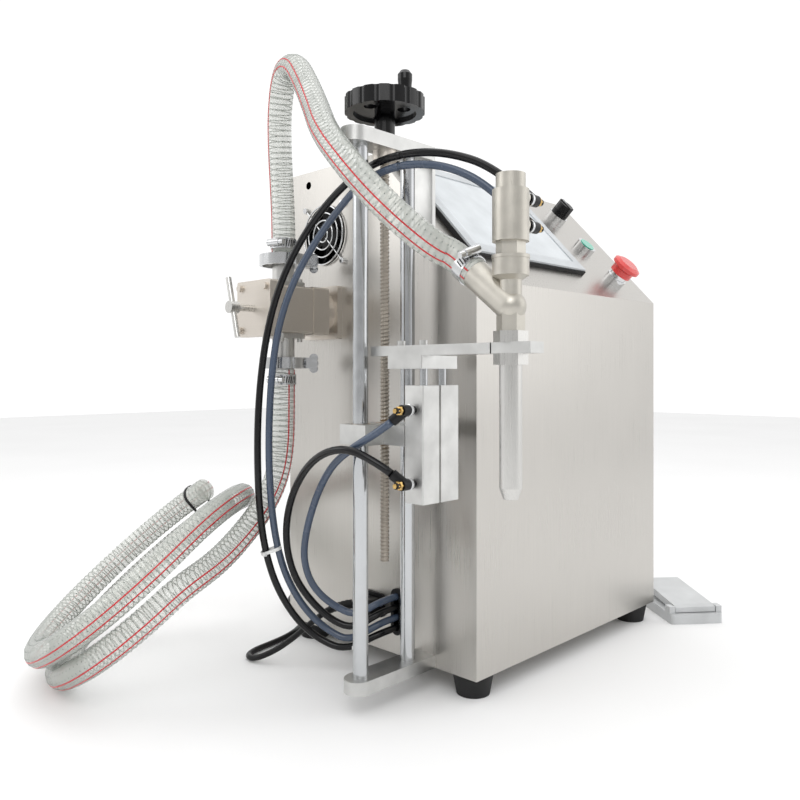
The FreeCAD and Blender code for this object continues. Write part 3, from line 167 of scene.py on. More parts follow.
# a scratch is this many times as long as it is wide
SCRATCH_LENGTH = 90


# ---------------------------------------------------------------- small helpers
def linear(code):
    """An sRGB hex colour as linear RGBA."""
    parts = [int(code[k:k + 2], 16) / 255 for k in (1, 3, 5)]
    return tuple(c / 12.92 if c <= 0.04045 else ((c + 0.055) / 1.055) ** 2.4 for c in parts) + (1.0,)


def add(tree, kind, settings=(), links=()):
    """Adds a node. A setting names an input socket or a property; a link joins an input to an output socket."""
    made = tree.nodes.new(kind)
    for name, value in settings:
        if name in made.inputs.keys():
            made.inputs[name].default_value = value
        else:
            setattr(made, name, value)
    for name, source in links:
        tree.links.new(source, made.inputs[name])
    return made


def new_material(name, settings):
    """A material whose shader holds its uniform values, with its node tree, its shader and its own coordinates."""
    made = bpy.data.materials.new(name)
    made.use_nodes = True
    tree = made.node_tree
    tree.nodes.clear()
    shader = add(tree, "ShaderNodeBsdfPrincipled", settings)
    add(tree, "ShaderNodeOutputMaterial", (), [("Surface", shader.outputs["BSDF"])])
    return made, tree, shader, add(tree, "ShaderNodeTexCoord").outputs["Object"]


def spread(tree, factor, low, high, low_value, high_value):
    """A ramp from one colour or value to another between two factors."""
    ramp = add(tree, "ShaderNodeValToRGB", (), [("Fac", factor)])
    ramp.color_ramp.elements[0].position, ramp.color_ramp.elements[1].position = low, high
    ramp.color_ramp.elements[0].color, ramp.color_ramp.elements[1].color = low_value, high_value
    return ramp.outputs["Color"]


def grey(value):
    """A grey as linear RGBA."""
    return (value, value, value, 1.0)


def shade(colour, factor):
    """A colour made darker or lighter, kept within white."""
    return tuple(min(1.0, c * factor) for c in colour[:3]) + (1.0,)


def dress(material, *nodes):
    """Gives CAD nodes a finish."""
    for name in nodes:
        obj = NODES[name]
        if not obj.material_slots:
            obj.data.materials.append(material)
        for place in obj.material_slots:
            place.material = material


def object_from(name, mesh, *materials):
    """An object in the scene that holds a mesh with its materials."""
    made = bpy.data.objects.new(name, mesh)
    bpy.context.scene.collection.objects.link(made)
    for material in materials:
        mesh.materials.append(material)
    return made


def nurbs_curve(name, points):
    """A smooth curve that has these points, in mm, as its control points."""
    data = bpy.data.curves.new(name, "CURVE")
    data.dimensions = "3D"
    data.resolution_u = 6
    spline = data.splines.new("NURBS")
    spline.points.add(len(points) - 1)
    for place, point in zip(spline.points, points):
        place.co = (*at(*point), 1)
    spline.order_u = 3
    spline.use_endpoint_u = True
    return data


def nurbs_line(points):
    """The same curve as a line of points, in metres in the frame."""
    data = nurbs_curve("route", points)
    made = bpy.data.objects.new("route", data)
    bpy.context.scene.collection.objects.link(made)
    bpy.context.view_layer.update()
    mesh = bpy.data.meshes.new_from_object(made)
    line = np.array([v.co[:] for v in mesh.vertices])
    bpy.data.objects.remove(made)
    bpy.data.curves.remove(data)
    bpy.data.meshes.remove(mesh)
    keep = [0] + [k for k in range(1, len(line)) if np.linalg.norm(line[k] - line[k - 1]) > 1e-6]
    return line[keep]


def evenly(line, step):
    """The line read again at even steps."""
    runs = np.concatenate([[0], np.cumsum(np.linalg.norm(np.diff(line, axis=0), axis=1))])
    marks = np.linspace(0, runs[-1], max(2, int(round(runs[-1] / step)) + 1))
    return np.stack([np.interp(marks, runs, line[:, k]) for k in range(3)], axis=1)


def frames_along(line):
    """Tangent, side and lift directions along a line, turned as little as possible."""
    way = np.gradient(line, axis=0)
    way /= np.linalg.norm(way, axis=1)[:, None]
    side = np.cross(way[0], (0.3, 0.2, 1.0) if abs(way[0][2]) < 0.9 else (1.0, 0.1, 0.0))
    sides = []
    for one in way:
        side = side - one * np.dot(side, one)
        side = side / np.linalg.norm(side)
        sides.append(side)
    sides = np.array(sides)
    return way, sides, np.cross(way, sides)


def skin(rings, caps=False):
    """Vertices and faces of a surface through equal closed rings of points."""
    count, size = len(rings), len(rings[0])
    verts = [tuple(p) for one in rings for p in one]
    faces = []
    for k in range(count - 1):
        for j in range(size):
            n = (j + 1) % size
            faces.append((k * size + j, k * size + n, (k + 1) * size + n, (k + 1) * size + j))
    if caps:
        faces.append(tuple(range(size))[::-1])
        faces.append(tuple(range((count - 1) * size, count * size)))
    return verts, faces


def tube_skin(line, radius, sides=16, caps=True):
    """A round tube's surface along a line. radius is one value or one for each point."""
    way, side, lift = frames_along(line)
    radii = np.broadcast_to(radius, (len(line),))
    turn = np.linspace(0, 2 * math.pi, sides, endpoint=False)
    rings = [p + r * (np.cos(turn)[:, None] * s + np.sin(turn)[:, None] * u)
             for p, r, s, u in zip(line, radii, side, lift)]
    return skin(rings, caps=caps)


def join_skins(name, skins, materials, smooth=True):
    """One mesh from several surfaces, each with its own material number."""
    verts, faces, numbers = [], [], []
    for (some_verts, some_faces), number in skins:
        start = len(verts)
        verts += some_verts
        faces += [tuple(k + start for k in face) for face in some_faces]
        numbers += [number] * len(some_faces)
    mesh = bpy.data.meshes.new(name)
    mesh.from_pydata(verts, [], faces)
    for polygon, number in zip(mesh.polygons, numbers):
        polygon.material_index = number
        polygon.use_smooth = smooth
    made = object_from(name, mesh, *materials)
    tidy = bmesh.new()
    tidy.from_mesh(mesh)
    bmesh.ops.recalc_face_normals(tidy, faces=tidy.faces)
    tidy.to_mesh(mesh)
    tidy.free()
    return made


def lathe_skin(start, axis, profile, sides):
    """A turned surface: profile is (radius, height) pairs in mm along the axis from start, a point in metres."""
    axis = np.array(Vector(axis).normalized())
    side = np.cross(axis, (0.0, 0.0, 1.0) if abs(axis[2]) < 0.9 else (1.0, 0.0, 0.0))
    side /= np.linalg.norm(side)
    lift = np.cross(axis, side)
    turn = np.linspace(0, 2 * math.pi, sides, endpoint=False)
    rings = [np.array(start) + axis * h / 1000 + max(r, 0.01) / 1000 * (np.cos(turn)[:, None] * side
             + np.sin(turn)[:, None] * lift) for r, h in profile]
    return skin(rings, caps=True)


def crease(obj):
    """Keeps edges sharper than CREASE_DEGREES and smooths the rest."""
    for polygon in obj.data.polygons:
        polygon.use_smooth = True
    obj.data.set_sharp_from_angle(angle=math.radians(CREASE_DEGREES))
    return obj


def block_skin(corner_mm, size_mm, chamfer_mm):
    """A chamfered block's surface, its corner and size in mm from the cabinet's corner."""
    mesh = bmesh.new()
    bmesh.ops.create_cube(mesh, size=1.0)
    for v in mesh.verts:
        v.co = Vector([(v.co[k] + 0.5) * size_mm[k] + corner_mm[k] for k in range(3)])
    bmesh.ops.bevel(mesh, geom=list(mesh.edges), offset=chamfer_mm, segments=2, affect="EDGES", profile=0.6)
    verts = [tuple(at(*v.co)) for v in mesh.verts]
    faces = [tuple(v.index for v in face.verts) for face in mesh.faces]
    mesh.free()
    return verts, faces


# ---------------------------------------------------------------- finishes
def vary(tree, shader, factor, reach, colour, shades, rough):
    """Varies a finish's colour and roughness together as the factor goes through its reach."""
    tree.links.new(spread(tree, factor, *reach, shade(colour, shades[0]), shade(colour, shades[1])),
                   shader.inputs["Base Color"])
    tree.links.new(spread(tree, factor, *reach, grey(rough[0]), grey(rough[1])), shader.inputs["Roughness"])


def brushed_metal(name, colour, grain_mm, along, rough):
    """A metal with fine scratches along one axis. They spread the reflections sideways into soft bands."""
    made, tree, shader, spot = new_material(name, [("Metallic", 1.0), ("IOR", 1.5)])
    stretch = [1000 / grain_mm] * 3
    stretch["XYZ".index(along)] = 1000 / (grain_mm * SCRATCH_LENGTH)
    mapped = add(tree, "ShaderNodeMapping", [("Scale", stretch)], [("Vector", spot)])
    grain = add(tree, "ShaderNodeTexNoise", [("Scale", 1.0), ("Detail", 4.0), ("Roughness", 0.65)],
                [("Vector", mapped.outputs["Vector"])])
    cloud = add(tree, "ShaderNodeTexNoise", [("Scale", 9.0), ("Detail", 2.0)], [("Vector", spot)])
    both = add(tree, "ShaderNodeMix", [("Factor", 0.3)], [("A", grain.outputs["Fac"]), ("B", cloud.outputs["Fac"])])
    vary(tree, shader, both.outputs["Result"], (0.3, 0.7), colour, (0.93, 1.04), rough)
    bump = add(tree, "ShaderNodeBump", [("Strength", 0.12), ("Distance", 0.0001)], [("Height", grain.outputs["Fac"])])
    tree.links.new(bump.outputs["Normal"], shader.inputs["Normal"])
    return made


def cast_metal(name, colour, grit_mm, rough, depth_mm):
    """A blasted or cast metal: an even fine grain that breaks every reflection up."""
    made, tree, shader, spot = new_material(name, [("Metallic", 1.0), ("IOR", 1.5)])
    grit = add(tree, "ShaderNodeTexNoise", [("Scale", 1000 / grit_mm), ("Detail", 3.0), ("Roughness", 0.7)],
               [("Vector", spot)])
    cloud = add(tree, "ShaderNodeTexNoise", [("Scale", 45.0), ("Detail", 3.0)], [("Vector", spot)])
    tree.links.new(spread(tree, cloud.outputs["Fac"], 0.3, 0.75, shade(colour, 0.86), shade(colour, 1.06)),
                   shader.inputs["Base Color"])
    tree.links.new(spread(tree, grit.outputs["Fac"], 0.3, 0.7, grey(rough[0]), grey(rough[1])),
                   shader.inputs["Roughness"])
    bump = add(tree, "ShaderNodeBump", [("Strength", 0.5), ("Distance", depth_mm / 1000)],
               [("Height", grit.outputs["Fac"])])
    tree.links.new(bump.outputs["Normal"], shader.inputs["Normal"])
    return made


def polished_metal(name, colour, rough, turning_mm=0.0):
    """A ground or plated metal: near-mirror, with faint smears, and turning marks where it was lathed."""
    made, tree, shader, spot = new_material(name, [("Metallic", 1.0), ("IOR", 1.5)])
    smear = add(tree, "ShaderNodeTexNoise", [("Scale", 60.0), ("Detail", 5.0)], [("Vector", spot)])
    vary(tree, shader, smear.outputs["Fac"], (0.35, 0.7), colour, (0.95, 1.03), rough)
    if turning_mm:
        rings = add(tree, "ShaderNodeTexWave", [("wave_type", "BANDS"), ("bands_direction", "Z"),
                    ("Scale", 1000 / turning_mm / 20), ("Distortion", 0.4)], [("Vector", spot)])
        bump = add(tree, "ShaderNodeBump", [("Strength", 0.15), ("Distance", 0.00005)],
                   [("Height", rings.outputs["Fac"])])
        tree.links.new(bump.outputs["Normal"], shader.inputs["Normal"])
    return made


def moulded(name, colour, rough, grain_mm, depth_mm, coat=0.0, gloss=0.5):
    """A moulded plastic, rubber or enamel: one colour with slight clouding and an even fine skin."""
    made, tree, shader, spot = new_material(name, [("Metallic", 0.0), ("IOR", 1.5), ("Coat Weight", coat),
                                             ("Coat Roughness", 0.08), ("Specular IOR Level", gloss)])
    skin_grain = add(tree, "ShaderNodeTexNoise", [("Scale", 1000 / grain_mm), ("Detail", 2.0)],
                     [("Vector", spot)])
    cloud = add(tree, "ShaderNodeTexNoise", [("Scale", 30.0), ("Detail", 4.0)], [("Vector", spot)])
    vary(tree, shader, cloud.outputs["Fac"], (0.3, 0.75), colour, (0.88, 1.08), rough)
    bump = add(tree, "ShaderNodeBump", [("Strength", 0.3), ("Distance", depth_mm / 1000)],
               [("Height", skin_grain.outputs["Fac"])])
    tree.links.new(bump.outputs["Normal"], shader.inputs["Normal"])
    return made


FINISH = {}


def make_finishes(colours):
    """Makes every finish in its colour and keeps it in FINISH."""
    tone = {name: linear(getattr(colours, name)) for name in colours.__annotations__}
    # 304 stainless sheet with a No. 4 brushed finish: upright hairlines about 0.6 mm apart, drawn twice as coarse
    FINISH["sheet"] = brushed_metal("Stainless_304_brushed", tone["sheet"], 1.2, "Z", (0.24, 0.38))
    # ground and hard-chromed shaft steel: nearly a mirror, it shows the room as thin upright bands
    FINISH["shaft"] = polished_metal("Chromed_shaft_steel", tone["shaft"], (0.15, 0.24))
    # rolled trapezoidal thread, lightly oiled: darker in its valleys
    FINISH["thread"] = cast_metal("Rolled_thread_steel", tone["thread"], 1.5, (0.28, 0.45), 0.03)
    # milled aluminium plate, tumbled and clear anodised: satin and nearly white
    FINISH["plate"] = cast_metal("Anodised_aluminium_plate", tone["aluminium"], 0.6, (0.30, 0.42), 0.02)
    # extruded aluminium barrel, matt anodised: whiter and duller than the plates
    FINISH["barrel"] = cast_metal("Anodised_cylinder_extrusion", tone["barrel"], 0.5, (0.42, 0.52), 0.02)
    # turned bronze: warm, with fine turning rings
    FINISH["bronze"] = polished_metal("Turned_bronze", tone["bronze"], (0.2, 0.34), 0.8)
    # phenolic resin, pressed in a polished mould: deep black gloss under a thin clear skin
    FINISH["phenolic"] = moulded("Phenolic_resin_gloss", tone["phenolic"], (0.14, 0.24), 1.5, 0.015, 0.1,
                                 gloss=0.32)
    # drawn stainless tube, linished lengthwise: soft bright and grey bands along it
    FINISH["tube"] = brushed_metal("Stainless_316_linished", tone["tube"], 0.7, "Z", (0.24, 0.36))
    # investment-cast and bead-blasted stainless: grey and sparkling, no clear reflections
    FINISH["cast"] = cast_metal("Stainless_investment_cast", tone["cast"], 0.9, (0.30, 0.50), 0.07)
    # machined stainless block, left satin
    FINISH["block"] = brushed_metal("Stainless_316_machined", tone["block"], 0.8, "Y", (0.34, 0.5))
    # electropolished clamp parts: a soft mirror with its edges rounded off
    FINISH["clamp"] = polished_metal("Stainless_electropolished", tone["chrome"], (0.12, 0.24))
    # nickel and chrome plating on the guard and the bezels: a sharp, cool mirror
    FINISH["chrome"] = polished_metal("Chrome_plated_brass", tone["chrome"], (0.04, 0.10))
    # free-cutting brass screws in the fittings: yellow, with turning rings that soften their shine
    FINISH["brass"] = polished_metal("Free_cutting_brass", tone["brass"], (0.14, 0.26), 0.6)
    # glass-filled polybutylene fittings: black with a satin shine
    FINISH["fitting"] = moulded("Glass_filled_PBT_black", tone["black"], (0.25, 0.4), 0.5, 0.02, gloss=0.3)
    # ABS housings with a spark-eroded skin: black and dull, with a fine grain
    FINISH["abs"] = moulded("ABS_spark_eroded_black", tone["black"], (0.42, 0.55), 0.7, 0.04, gloss=0.3)
    # EPDM rubber feet, matt with a bloom
    FINISH["rubber"] = moulded("EPDM_rubber", tone["rubber"], (0.6, 0.75), 0.9, 0.05)
    # PVC cord sheath, extruded: black with a low, even shine
    FINISH["cord"] = moulded("PVC_cord_sheath", tone["rubber"], (0.38, 0.5), 0.6, 0.02, gloss=0.3)
    # polyurethane air tube, extruded: smooth with a soft gloss
    FINISH["tube_black"] = moulded("Polyurethane_tube_black", tone["black"], (0.18, 0.3), 2.0, 0.01, 0.05,
                                   gloss=0.34)
    # the same tube in slate blue, under a clearer skin
    FINISH["tube_blue"] = moulded("Polyurethane_tube_slate_blue", tone["tube_blue"], (0.2, 0.32), 2.0, 0.01, 0.3)
    # moulded ABS panel frame: light grey and satin
    FINISH["frame"] = moulded("ABS_panel_frame", tone["frame"], (0.35, 0.45), 0.6, 0.02)
    # hard-coated touch film over a grey, unlit display: smooth and glossy
    FINISH["screen"] = moulded("Touch_screen_film", tone["screen"], (0.06, 0.1), 3.0, 0.002, 0.6)
    # a foam-rubber gasket under the panel frame: black with no shine. The same black also paints shade on the frame's
    # side walls and inside the clamp bands' slots
    FINISH["gasket"] = moulded("Gasket_foam_rubber_and_painted_shade", tone["black"], (0.6, 0.7), 0.8, 0.03)
    # moulded polyamide knob: black with a satin shine
    FINISH["knob"] = moulded("Polyamide_knob_black", tone["black"], (0.25, 0.36), 0.8, 0.02, gloss=0.3)
    # a polycarbonate lens, unlit: a clean glossy green
    FINISH["green"] = moulded("Polycarbonate_green_lens", tone["green"], (0.12, 0.2), 1.2, 0.01, 0.5)
    # moulded polyamide in signal red, half glossy
    FINISH["red"] = moulded("Polyamide_signal_red", tone["red"], (0.24, 0.36), 0.9, 0.02, 0.35)
    # undyed nylon ties: milky white and satin
    FINISH["white"] = moulded("Nylon_tie_natural", tone["tie"], (0.35, 0.45), 0.8, 0.02)
    # light grey powder coat: a fine even orange peel
    FINISH["enamel"] = moulded("Powder_coat_light_grey", tone["pedal"], (0.3, 0.42), 1.6, 0.05, 0.2)
    # sprayed enamel on the motor: black and half dull
    FINISH["motor"] = moulded("Motor_enamel_black", tone["black"], (0.35, 0.5), 1.4, 0.04)
    # zinc-coated steel cases inside: plain dull grey
    FINISH["case"] = moulded("Zinc_coat_grey", tone["pedal"], (0.4, 0.5), 1.0, 0.03)
    # clear plasticised PVC: it lets the wire show, and turns milky where the wall is seen edge on
    FINISH["pvc"], tree, shader, spot = new_material("PVC_hose_clear", [
        ("Metallic", 0.0), ("IOR", 1.53), ("Alpha", 0.5), ("Coat Weight", 0.4), ("Coat Roughness", 0.05)])
    haze = add(tree, "ShaderNodeTexNoise", [("Scale", 70.0), ("Detail", 3.0)], [("Vector", spot)])
    vary(tree, shader, haze.outputs["Fac"], (0.3, 0.7), tone["pvc"], (0.94, 1.03), (0.12, 0.24))
    # spring-steel wire under a skin of PVC: the skin takes its shine away and leaves dull grey rings
    FINISH["wire"] = moulded("Spring_steel_wire_in_PVC", tone["wire"], (0.55, 0.7), 1.0, 0.01, gloss=0.15)
    # a line of pigmented PVC run into the wall: an even, slightly glossy red
    FINISH["line"] = moulded("PVC_marker_line_red", tone["line"], (0.3, 0.4), 1.0, 0.01)


# ---------------------------------------------------------------- shapes of the soft pieces
def hose(name, line, sizes, toward, toward_at, span=(0.0, 1.0), open_end=False):
    """A clear hose along part of a line in metres: its wall, the wire wound in it and its two marker lines.

    The marker lines face toward at the fraction toward_at of the line, and run on from one part to the next.
    """
    radius = HOSE_RADIUS / 1000
    wall = evenly(line, HOSE_STEP)
    first, last = (int(round(part * (len(wall) - 1))) for part in span)
    parts = [(tube_skin(wall[first:last + 1], radius, 32), 0)]
    fine = evenly(line, sizes.wire_pitch / 1000 / WIRE_POINTS)
    way, side, lift = frames_along(fine)
    turn = np.arange(len(fine)) * 2 * math.pi / WIRE_POINTS
    coil = fine + (radius - sizes.wire_depth / 1000) * (np.cos(turn)[:, None] * side + np.sin(turn)[:, None] * lift)
    start, end = (int(round(part * (len(fine) - 1))) for part in span)
    parts.append((tube_skin(coil[start + 3:end - 2], sizes.wire_radius / 1000, 6), 1))
    way, side, lift = frames_along(wall)
    k = int(toward_at * (len(wall) - 1))
    middle = math.atan2(np.dot(toward, lift[k]), np.dot(toward, side[k]))
    for angle in (middle - sizes.marker_spread / 2, middle + sizes.marker_spread / 2):
        edges = [(angle + shift, out) for shift, out in MARKER_OUTLINE]
        rings = [[wall[n] + (radius + out) * (math.cos(a) * side[n] + math.sin(a) * lift[n]) for a, out in edges]
                 for n in range(first, last + 1)]
        parts.append((skin(rings, caps=True), 2))
    if open_end:
        parts.append((tube_skin(wall[-8:], radius - sizes.hose_wall / 1000, 32, caps=False), 0))
    return join_skins(name, parts, [FINISH["pvc"], FINISH["wire"], FINISH["line"]])


def plain_tubes(name, lines, radius_mm, finishes):
    """Several plain tubes as one piece, each with its own finish."""
    parts = [(tube_skin(evenly(line, 0.006), radius_mm / 1000, 16), k) for k, line in enumerate(lines)]
    return join_skins(name, parts, [FINISH[f] for f in finishes])


def slot_shade_skins(middle, axis, radius_mm):
    """The slots stamped in a worm clamp's band, as thin slanted blocks around it, which are given black to paint the
    shade inside each slot. The middle is in mm.
    """
    axis = Vector(axis).normalized()
    side = axis.cross(Vector((0.3, 0.8, 0.2))).normalized()
    skins = []
    for k in range(SLOT_COUNT):
        a = (k - SLOT_COUNT / 2) * SLOT_PITCH / radius_mm
        out = side * math.cos(a) + axis.cross(side) * math.sin(a)
        along = axis.cross(out)
        slant = (axis + along * SLOT_SLANT).normalized()
        corners = [Vector(middle) + out * (radius_mm + depth) + slant * end + along * edge
                   for depth in SLOT_DEPTHS for end in SLOT_ENDS for edge in SLOT_SIDES]
        faces = [(0, 2, 3, 1), (4, 5, 7, 6), (0, 1, 5, 4), (2, 6, 7, 3), (0, 4, 6, 2), (1, 3, 7, 5)]
        skins.append((([tuple(at(*c)) for c in corners], faces), 0))
    return skins


def split_at_top(line):
    """The line's two halves, parted at its highest point and sharing it."""
    top = int(np.argmax(line[:, 2]))
    return line[:top + 1], line[top:]


def loop_points():
    """The suction hose's two turns, leaning from the table up to their tie."""
    points = []
    for k in range(LOOPS_POINTS):
        degrees = LOOPS_FROM - LOOPS_STRIDE * k
        passed = min(1.0, max(0.0, (-degrees - CROSSING_FROM) / CROSSING_TAKES))
        step = LOOPS_STEP * (2 * (3 * passed ** 2 - 2 * passed ** 3) - 1)
        a = math.radians(degrees)
        out = LOOPS_STEEP * math.cos(a) + LOOPS_FLAT * math.sin(a)
        points.append(tuple(LOOPS_CENTRE + LOOPS_UP * step + out * LOOPS_R * LOOPS_REACH))
    return points


def coil_points():
    """The cord's put-away turns: one layer inwards on the table and one outwards on it, then off to the plug."""
    points = []
    count = int(COIL_TURNS * COIL_POINTS)
    for layer, height in enumerate(COIL_HEIGHTS):
        for k in range(count + 1):
            part = k / count
            radius = COIL_INNER + COIL_SPAN * part if layer else COIL_OUTER - COIL_SPAN * part
            a = math.radians(COIL_FROM - (part * COIL_TURNS + layer * (COIL_TURNS + COIL_CLIMB)) * 360)
            points.append((COIL_AT.x + radius * math.cos(a), COIL_AT.y + radius * math.sin(a), height))
    return points


def on_panel(x, s, h):
    """A point in mm on the sloped panel: x across, s up the slope from its front edge, h proud of it."""
    c, q = math.cos(TILT), math.sin(TILT)
    return (x, s * c - h * q, SHOULDER_Z + s * q + h * c)


def panel_block(x, s, h, chamfer_mm):
    """A chamfered block's surface lying on the sloped panel, from pairs of coordinates in mm."""
    verts, faces = block_skin((x[0], s[0], h[0]), (x[1] - x[0], s[1] - s[0], h[1] - h[0]), chamfer_mm)
    flat = [((v[0] * 1000 + FOOT_INSET), (v[1] * 1000 + FOOT_INSET), v[2] * 1000) for v in verts]
    return [tuple(at(*on_panel(*v))) for v in flat], faces


def tie_band(one, other, way, radius_mm, width_mm):
    """A flat strap around two strands side by side, their centres in mm and their direction given."""
    one, other, way = Vector(one), Vector(other), Vector(way).normalized()
    across = (other - one).normalized()
    across = (across - way * across.dot(way)).normalized()
    lift = way.cross(across)
    rings = []
    for off, reach in ((-0.5, 0.0), (0.5, 0.0), (0.5, 1.0), (-0.5, 1.0), (-0.5, 0.0)):
        outline = []
        for k in range(32):
            a = 2 * math.pi * k / 32
            base = other if math.cos(a) > 0 else one
            outline.append(tuple(at(*(base + way * off * width_mm + (across * math.cos(a) + lift * math.sin(a))
                                      * (radius_mm + reach * TIE_THICK)))))
        rings.append(np.array(outline))
    head = one + lift * (radius_mm + 1.6)
    return skin(rings), block_skin(head - Vector((2.2, 2.2, 2.2)), (4.4, 4.4, 4.4), 0.8)


# ---------------------------------------------------------------- settings
class FillerSizes(bpy.types.PropertyGroup):
    """Sizes of the trims, in millimetres."""
    wire_pitch: bpy.props.FloatProperty(name="Wire pitch", description="Distance between the hose wire's turns, mm",
                                        default=6.6, min=3.0, max=20.0)
    wire_radius: bpy.props.FloatProperty(name="Wire radius", description="Radius of the hose's wire, mm",
                                         default=0.7, min=0.2, max=2.0)
    wire_depth: bpy.props.FloatProperty(name="Wire depth", description="How far the wire lies under the skin, mm",
                                        default=0.45, min=0.1, max=3.0)
    hose_wall: bpy.props.FloatProperty(name="Hose wall", description="Thickness of the hose's wall, mm",
                                       default=3.0, min=1.0, max=6.0)
    marker_spread: bpy.props.FloatProperty(name="Marker line spread", description="Angle between the two marker lines",
                                           default=0.62, subtype="ANGLE")
    thread_pitch: bpy.props.FloatProperty(name="Thread pitch", description="Distance between the screw's ridges, mm",
                                          default=4.0, min=1.0, max=10.0)
    tie_width: bpy.props.FloatProperty(name="Tie width", description="Width of the cable ties, mm",
                                       default=3.6, min=2.0, max=9.0)


def tint(label, words, code):
    """A colour that a user can change, as a hex code."""
    return bpy.props.StringProperty(name=label, description=words, default=code)


class FillerColours(bpy.types.PropertyGroup):
    """Colours of the finishes, as sRGB hex codes."""
    sheet: tint("Sheet", "Brushed stainless sheet", "#c6c3be")
    chrome: tint("Chrome", "Chrome and polished steel", "#d2d3d4")
    shaft: tint("Shaft", "Ground column and rod steel", "#c2c4c6")
    thread: tint("Thread", "Rolled screw thread", "#a19a90")
    aluminium: tint("Aluminium", "Anodised plates", "#cdcdcb")
    barrel: tint("Barrel", "Anodised cylinder", "#d6d6d4")
    bronze: tint("Bronze", "Turned bushes", "#b08a50")
    phenolic: tint("Phenolic", "Handwheel resin", "#060607")
    tube: tint("Tube", "Filling tube and ports", "#cfcecb")
    cast: tint("Casting", "Cast valve", "#c6c2b9")
    block: tint("Block", "Pump's machined blocks", "#d3ccc3")
    brass: tint("Brass", "Fitting screws", "#c9a86a")
    black: tint("Black", "Black plastics", "#0c0c0e")
    rubber: tint("Rubber", "Feet and cord", "#101011")
    tube_blue: tint("Blue tube", "Slate-blue air tube", "#414e62")
    frame: tint("Panel frame", "Touch panel's frame", "#c4c8cb")
    tie: tint("Tie", "Natural nylon ties", "#e6e7e6")
    screen: tint("Screen", "Unlit touch screen", "#c9cfd3")
    green: tint("Green", "Start button", "#43b79c")
    red: tint("Red", "Emergency stop", "#d9423f")
    pedal: tint("Pedal", "Pedal enamel", "#c6c8c9")
    pvc: tint("Hose", "Clear hose wall", "#e2e5de")
    wire: tint("Wire", "Hose wire", "#7f8480")
    line: tint("Marker", "Hose marker lines", "#cc2f36")


# ---------------------------------------------------------------- operators
class FILLER_OT_stage(bpy.types.Operator):
    """Makes the camera, the pale floor and the soft studio lights."""
    bl_idname = "filler.stage"
    bl_label = "Stage"

    def execute(self, context):
        data = bpy.data.cameras.new("view_camera")
        data.lens = CAMERA_LENS
        data.sensor_width = CAMERA_SENSOR
        data.shift_y = CAMERA_SHIFT
        data.clip_end = 50.0
        camera = bpy.data.objects.new("view_camera", data)
        context.scene.collection.objects.link(camera)
        camera.location = CAMERA_AT
        camera.rotation_euler = Vector(CAMERA_WAY).to_track_quat("-Z", "Y").to_euler()
        context.scene.camera = camera
        paper, tree, shader, spot = new_material("Seamless_paper_white", [
            ("Roughness", 0.9), ("Specular IOR Level", 0.1)])
        fibre = add(tree, "ShaderNodeTexNoise", [("Scale", 2.0), ("Detail", 3.0)], [("Vector", spot)])
        tree.links.new(spread(tree, fibre.outputs["Fac"], 0.2, 0.8, grey(0.88), grey(0.91)),
                       shader.inputs["Base Color"])
        mesh = bmesh.new()
        bmesh.ops.create_grid(mesh, x_segments=8, y_segments=8, size=6.0)
        floor_mesh = bpy.data.meshes.new("floor")
        mesh.to_mesh(floor_mesh)
        mesh.free()
        object_from("floor", floor_mesh, paper)
        world = bpy.data.worlds.new("studio")
        context.scene.world = world
        world.use_nodes = True
        sky = world.node_tree.nodes["Background"]
        sky.inputs["Strength"].default_value = SKY_STRENGTH
        # a white cove in front and a dimmer room behind, so that the metals have something to show
        room = world.node_tree
        around = add(room, "ShaderNodeTexCoord")
        facing = add(room, "ShaderNodeVectorMath", [("operation", "DOT_PRODUCT")], [(0, around.outputs["Generated"])])
        facing.inputs[1].default_value = SKY_WAY
        raised = add(room, "ShaderNodeMath", [("operation", "ADD")], [(0, facing.outputs["Value"])])
        raised.inputs[1].default_value = 0.5
        tones = add(room, "ShaderNodeValToRGB", (), [("Fac", raised.outputs["Value"])])
        tones.color_ramp.elements[0].color = grey(0.42)
        tones.color_ramp.elements[1].position, tones.color_ramp.elements[1].color = 0.84, grey(1.0)
        side = tones.color_ramp.elements.new(0.45)
        side.color = grey(0.78)
        room.links.new(tones.outputs["Color"], sky.inputs["Color"])
        context.scene.view_settings.view_transform = "Standard"
        for name, where, size, power in LAMPS:
            lamp = bpy.data.lights.new(name, "AREA")
            lamp.size, lamp.energy = size, power
            light = bpy.data.objects.new(name, lamp)
            context.scene.collection.objects.link(light)
            light.location = where
            light.rotation_euler = (Vector(LAMPS_AIM) - Vector(where)).to_track_quat("-Z", "Y").to_euler()
        return {"FINISHED"}


class FILLER_OT_finishes(bpy.types.Operator):
    """Makes every finish from the chosen colours."""
    bl_idname = "filler.finishes"
    bl_label = "Finishes"

    def execute(self, context):
        make_finishes(context.scene.filler_colours)
        return {"FINISHED"}


class FILLER_OT_suction_hose(bpy.types.Operator):
    """Makes the suction hose with its two leaning loops and open end."""
    bl_idname = "filler.suction_hose"
    bl_label = "Suction hose"

    def execute(self, context):
        line = nurbs_line(SUCTION_ROUTE[:-1] + loop_points())
        made = hose("suction_hose_clear", line, context.scene.filler_sizes, TO_VIEWER, 0.62, open_end=True)
        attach(made, "cabinet")
        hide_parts("suction_hose", "suction_hose_loops")
        a = math.radians(LOOPS_TIE_AT)
        middle = LOOPS_CENTRE + (LOOPS_STEEP * math.cos(a) + LOOPS_FLAT * math.sin(a)) * LOOPS_R
        way = LOOPS_FLAT * math.cos(a) - LOOPS_STEEP * math.sin(a)
        band, head = tie_band(middle - LOOPS_UP * LOOPS_STEP, middle + LOOPS_UP * LOOPS_STEP, way, 15.0,
                              context.scene.filler_sizes.tie_width)
        tie = crease(join_skins("hose_tie", [(band, 0), (head, 0)], [FINISH["fitting"]]))
        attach(tie, "cabinet")
        return {"FINISHED"}


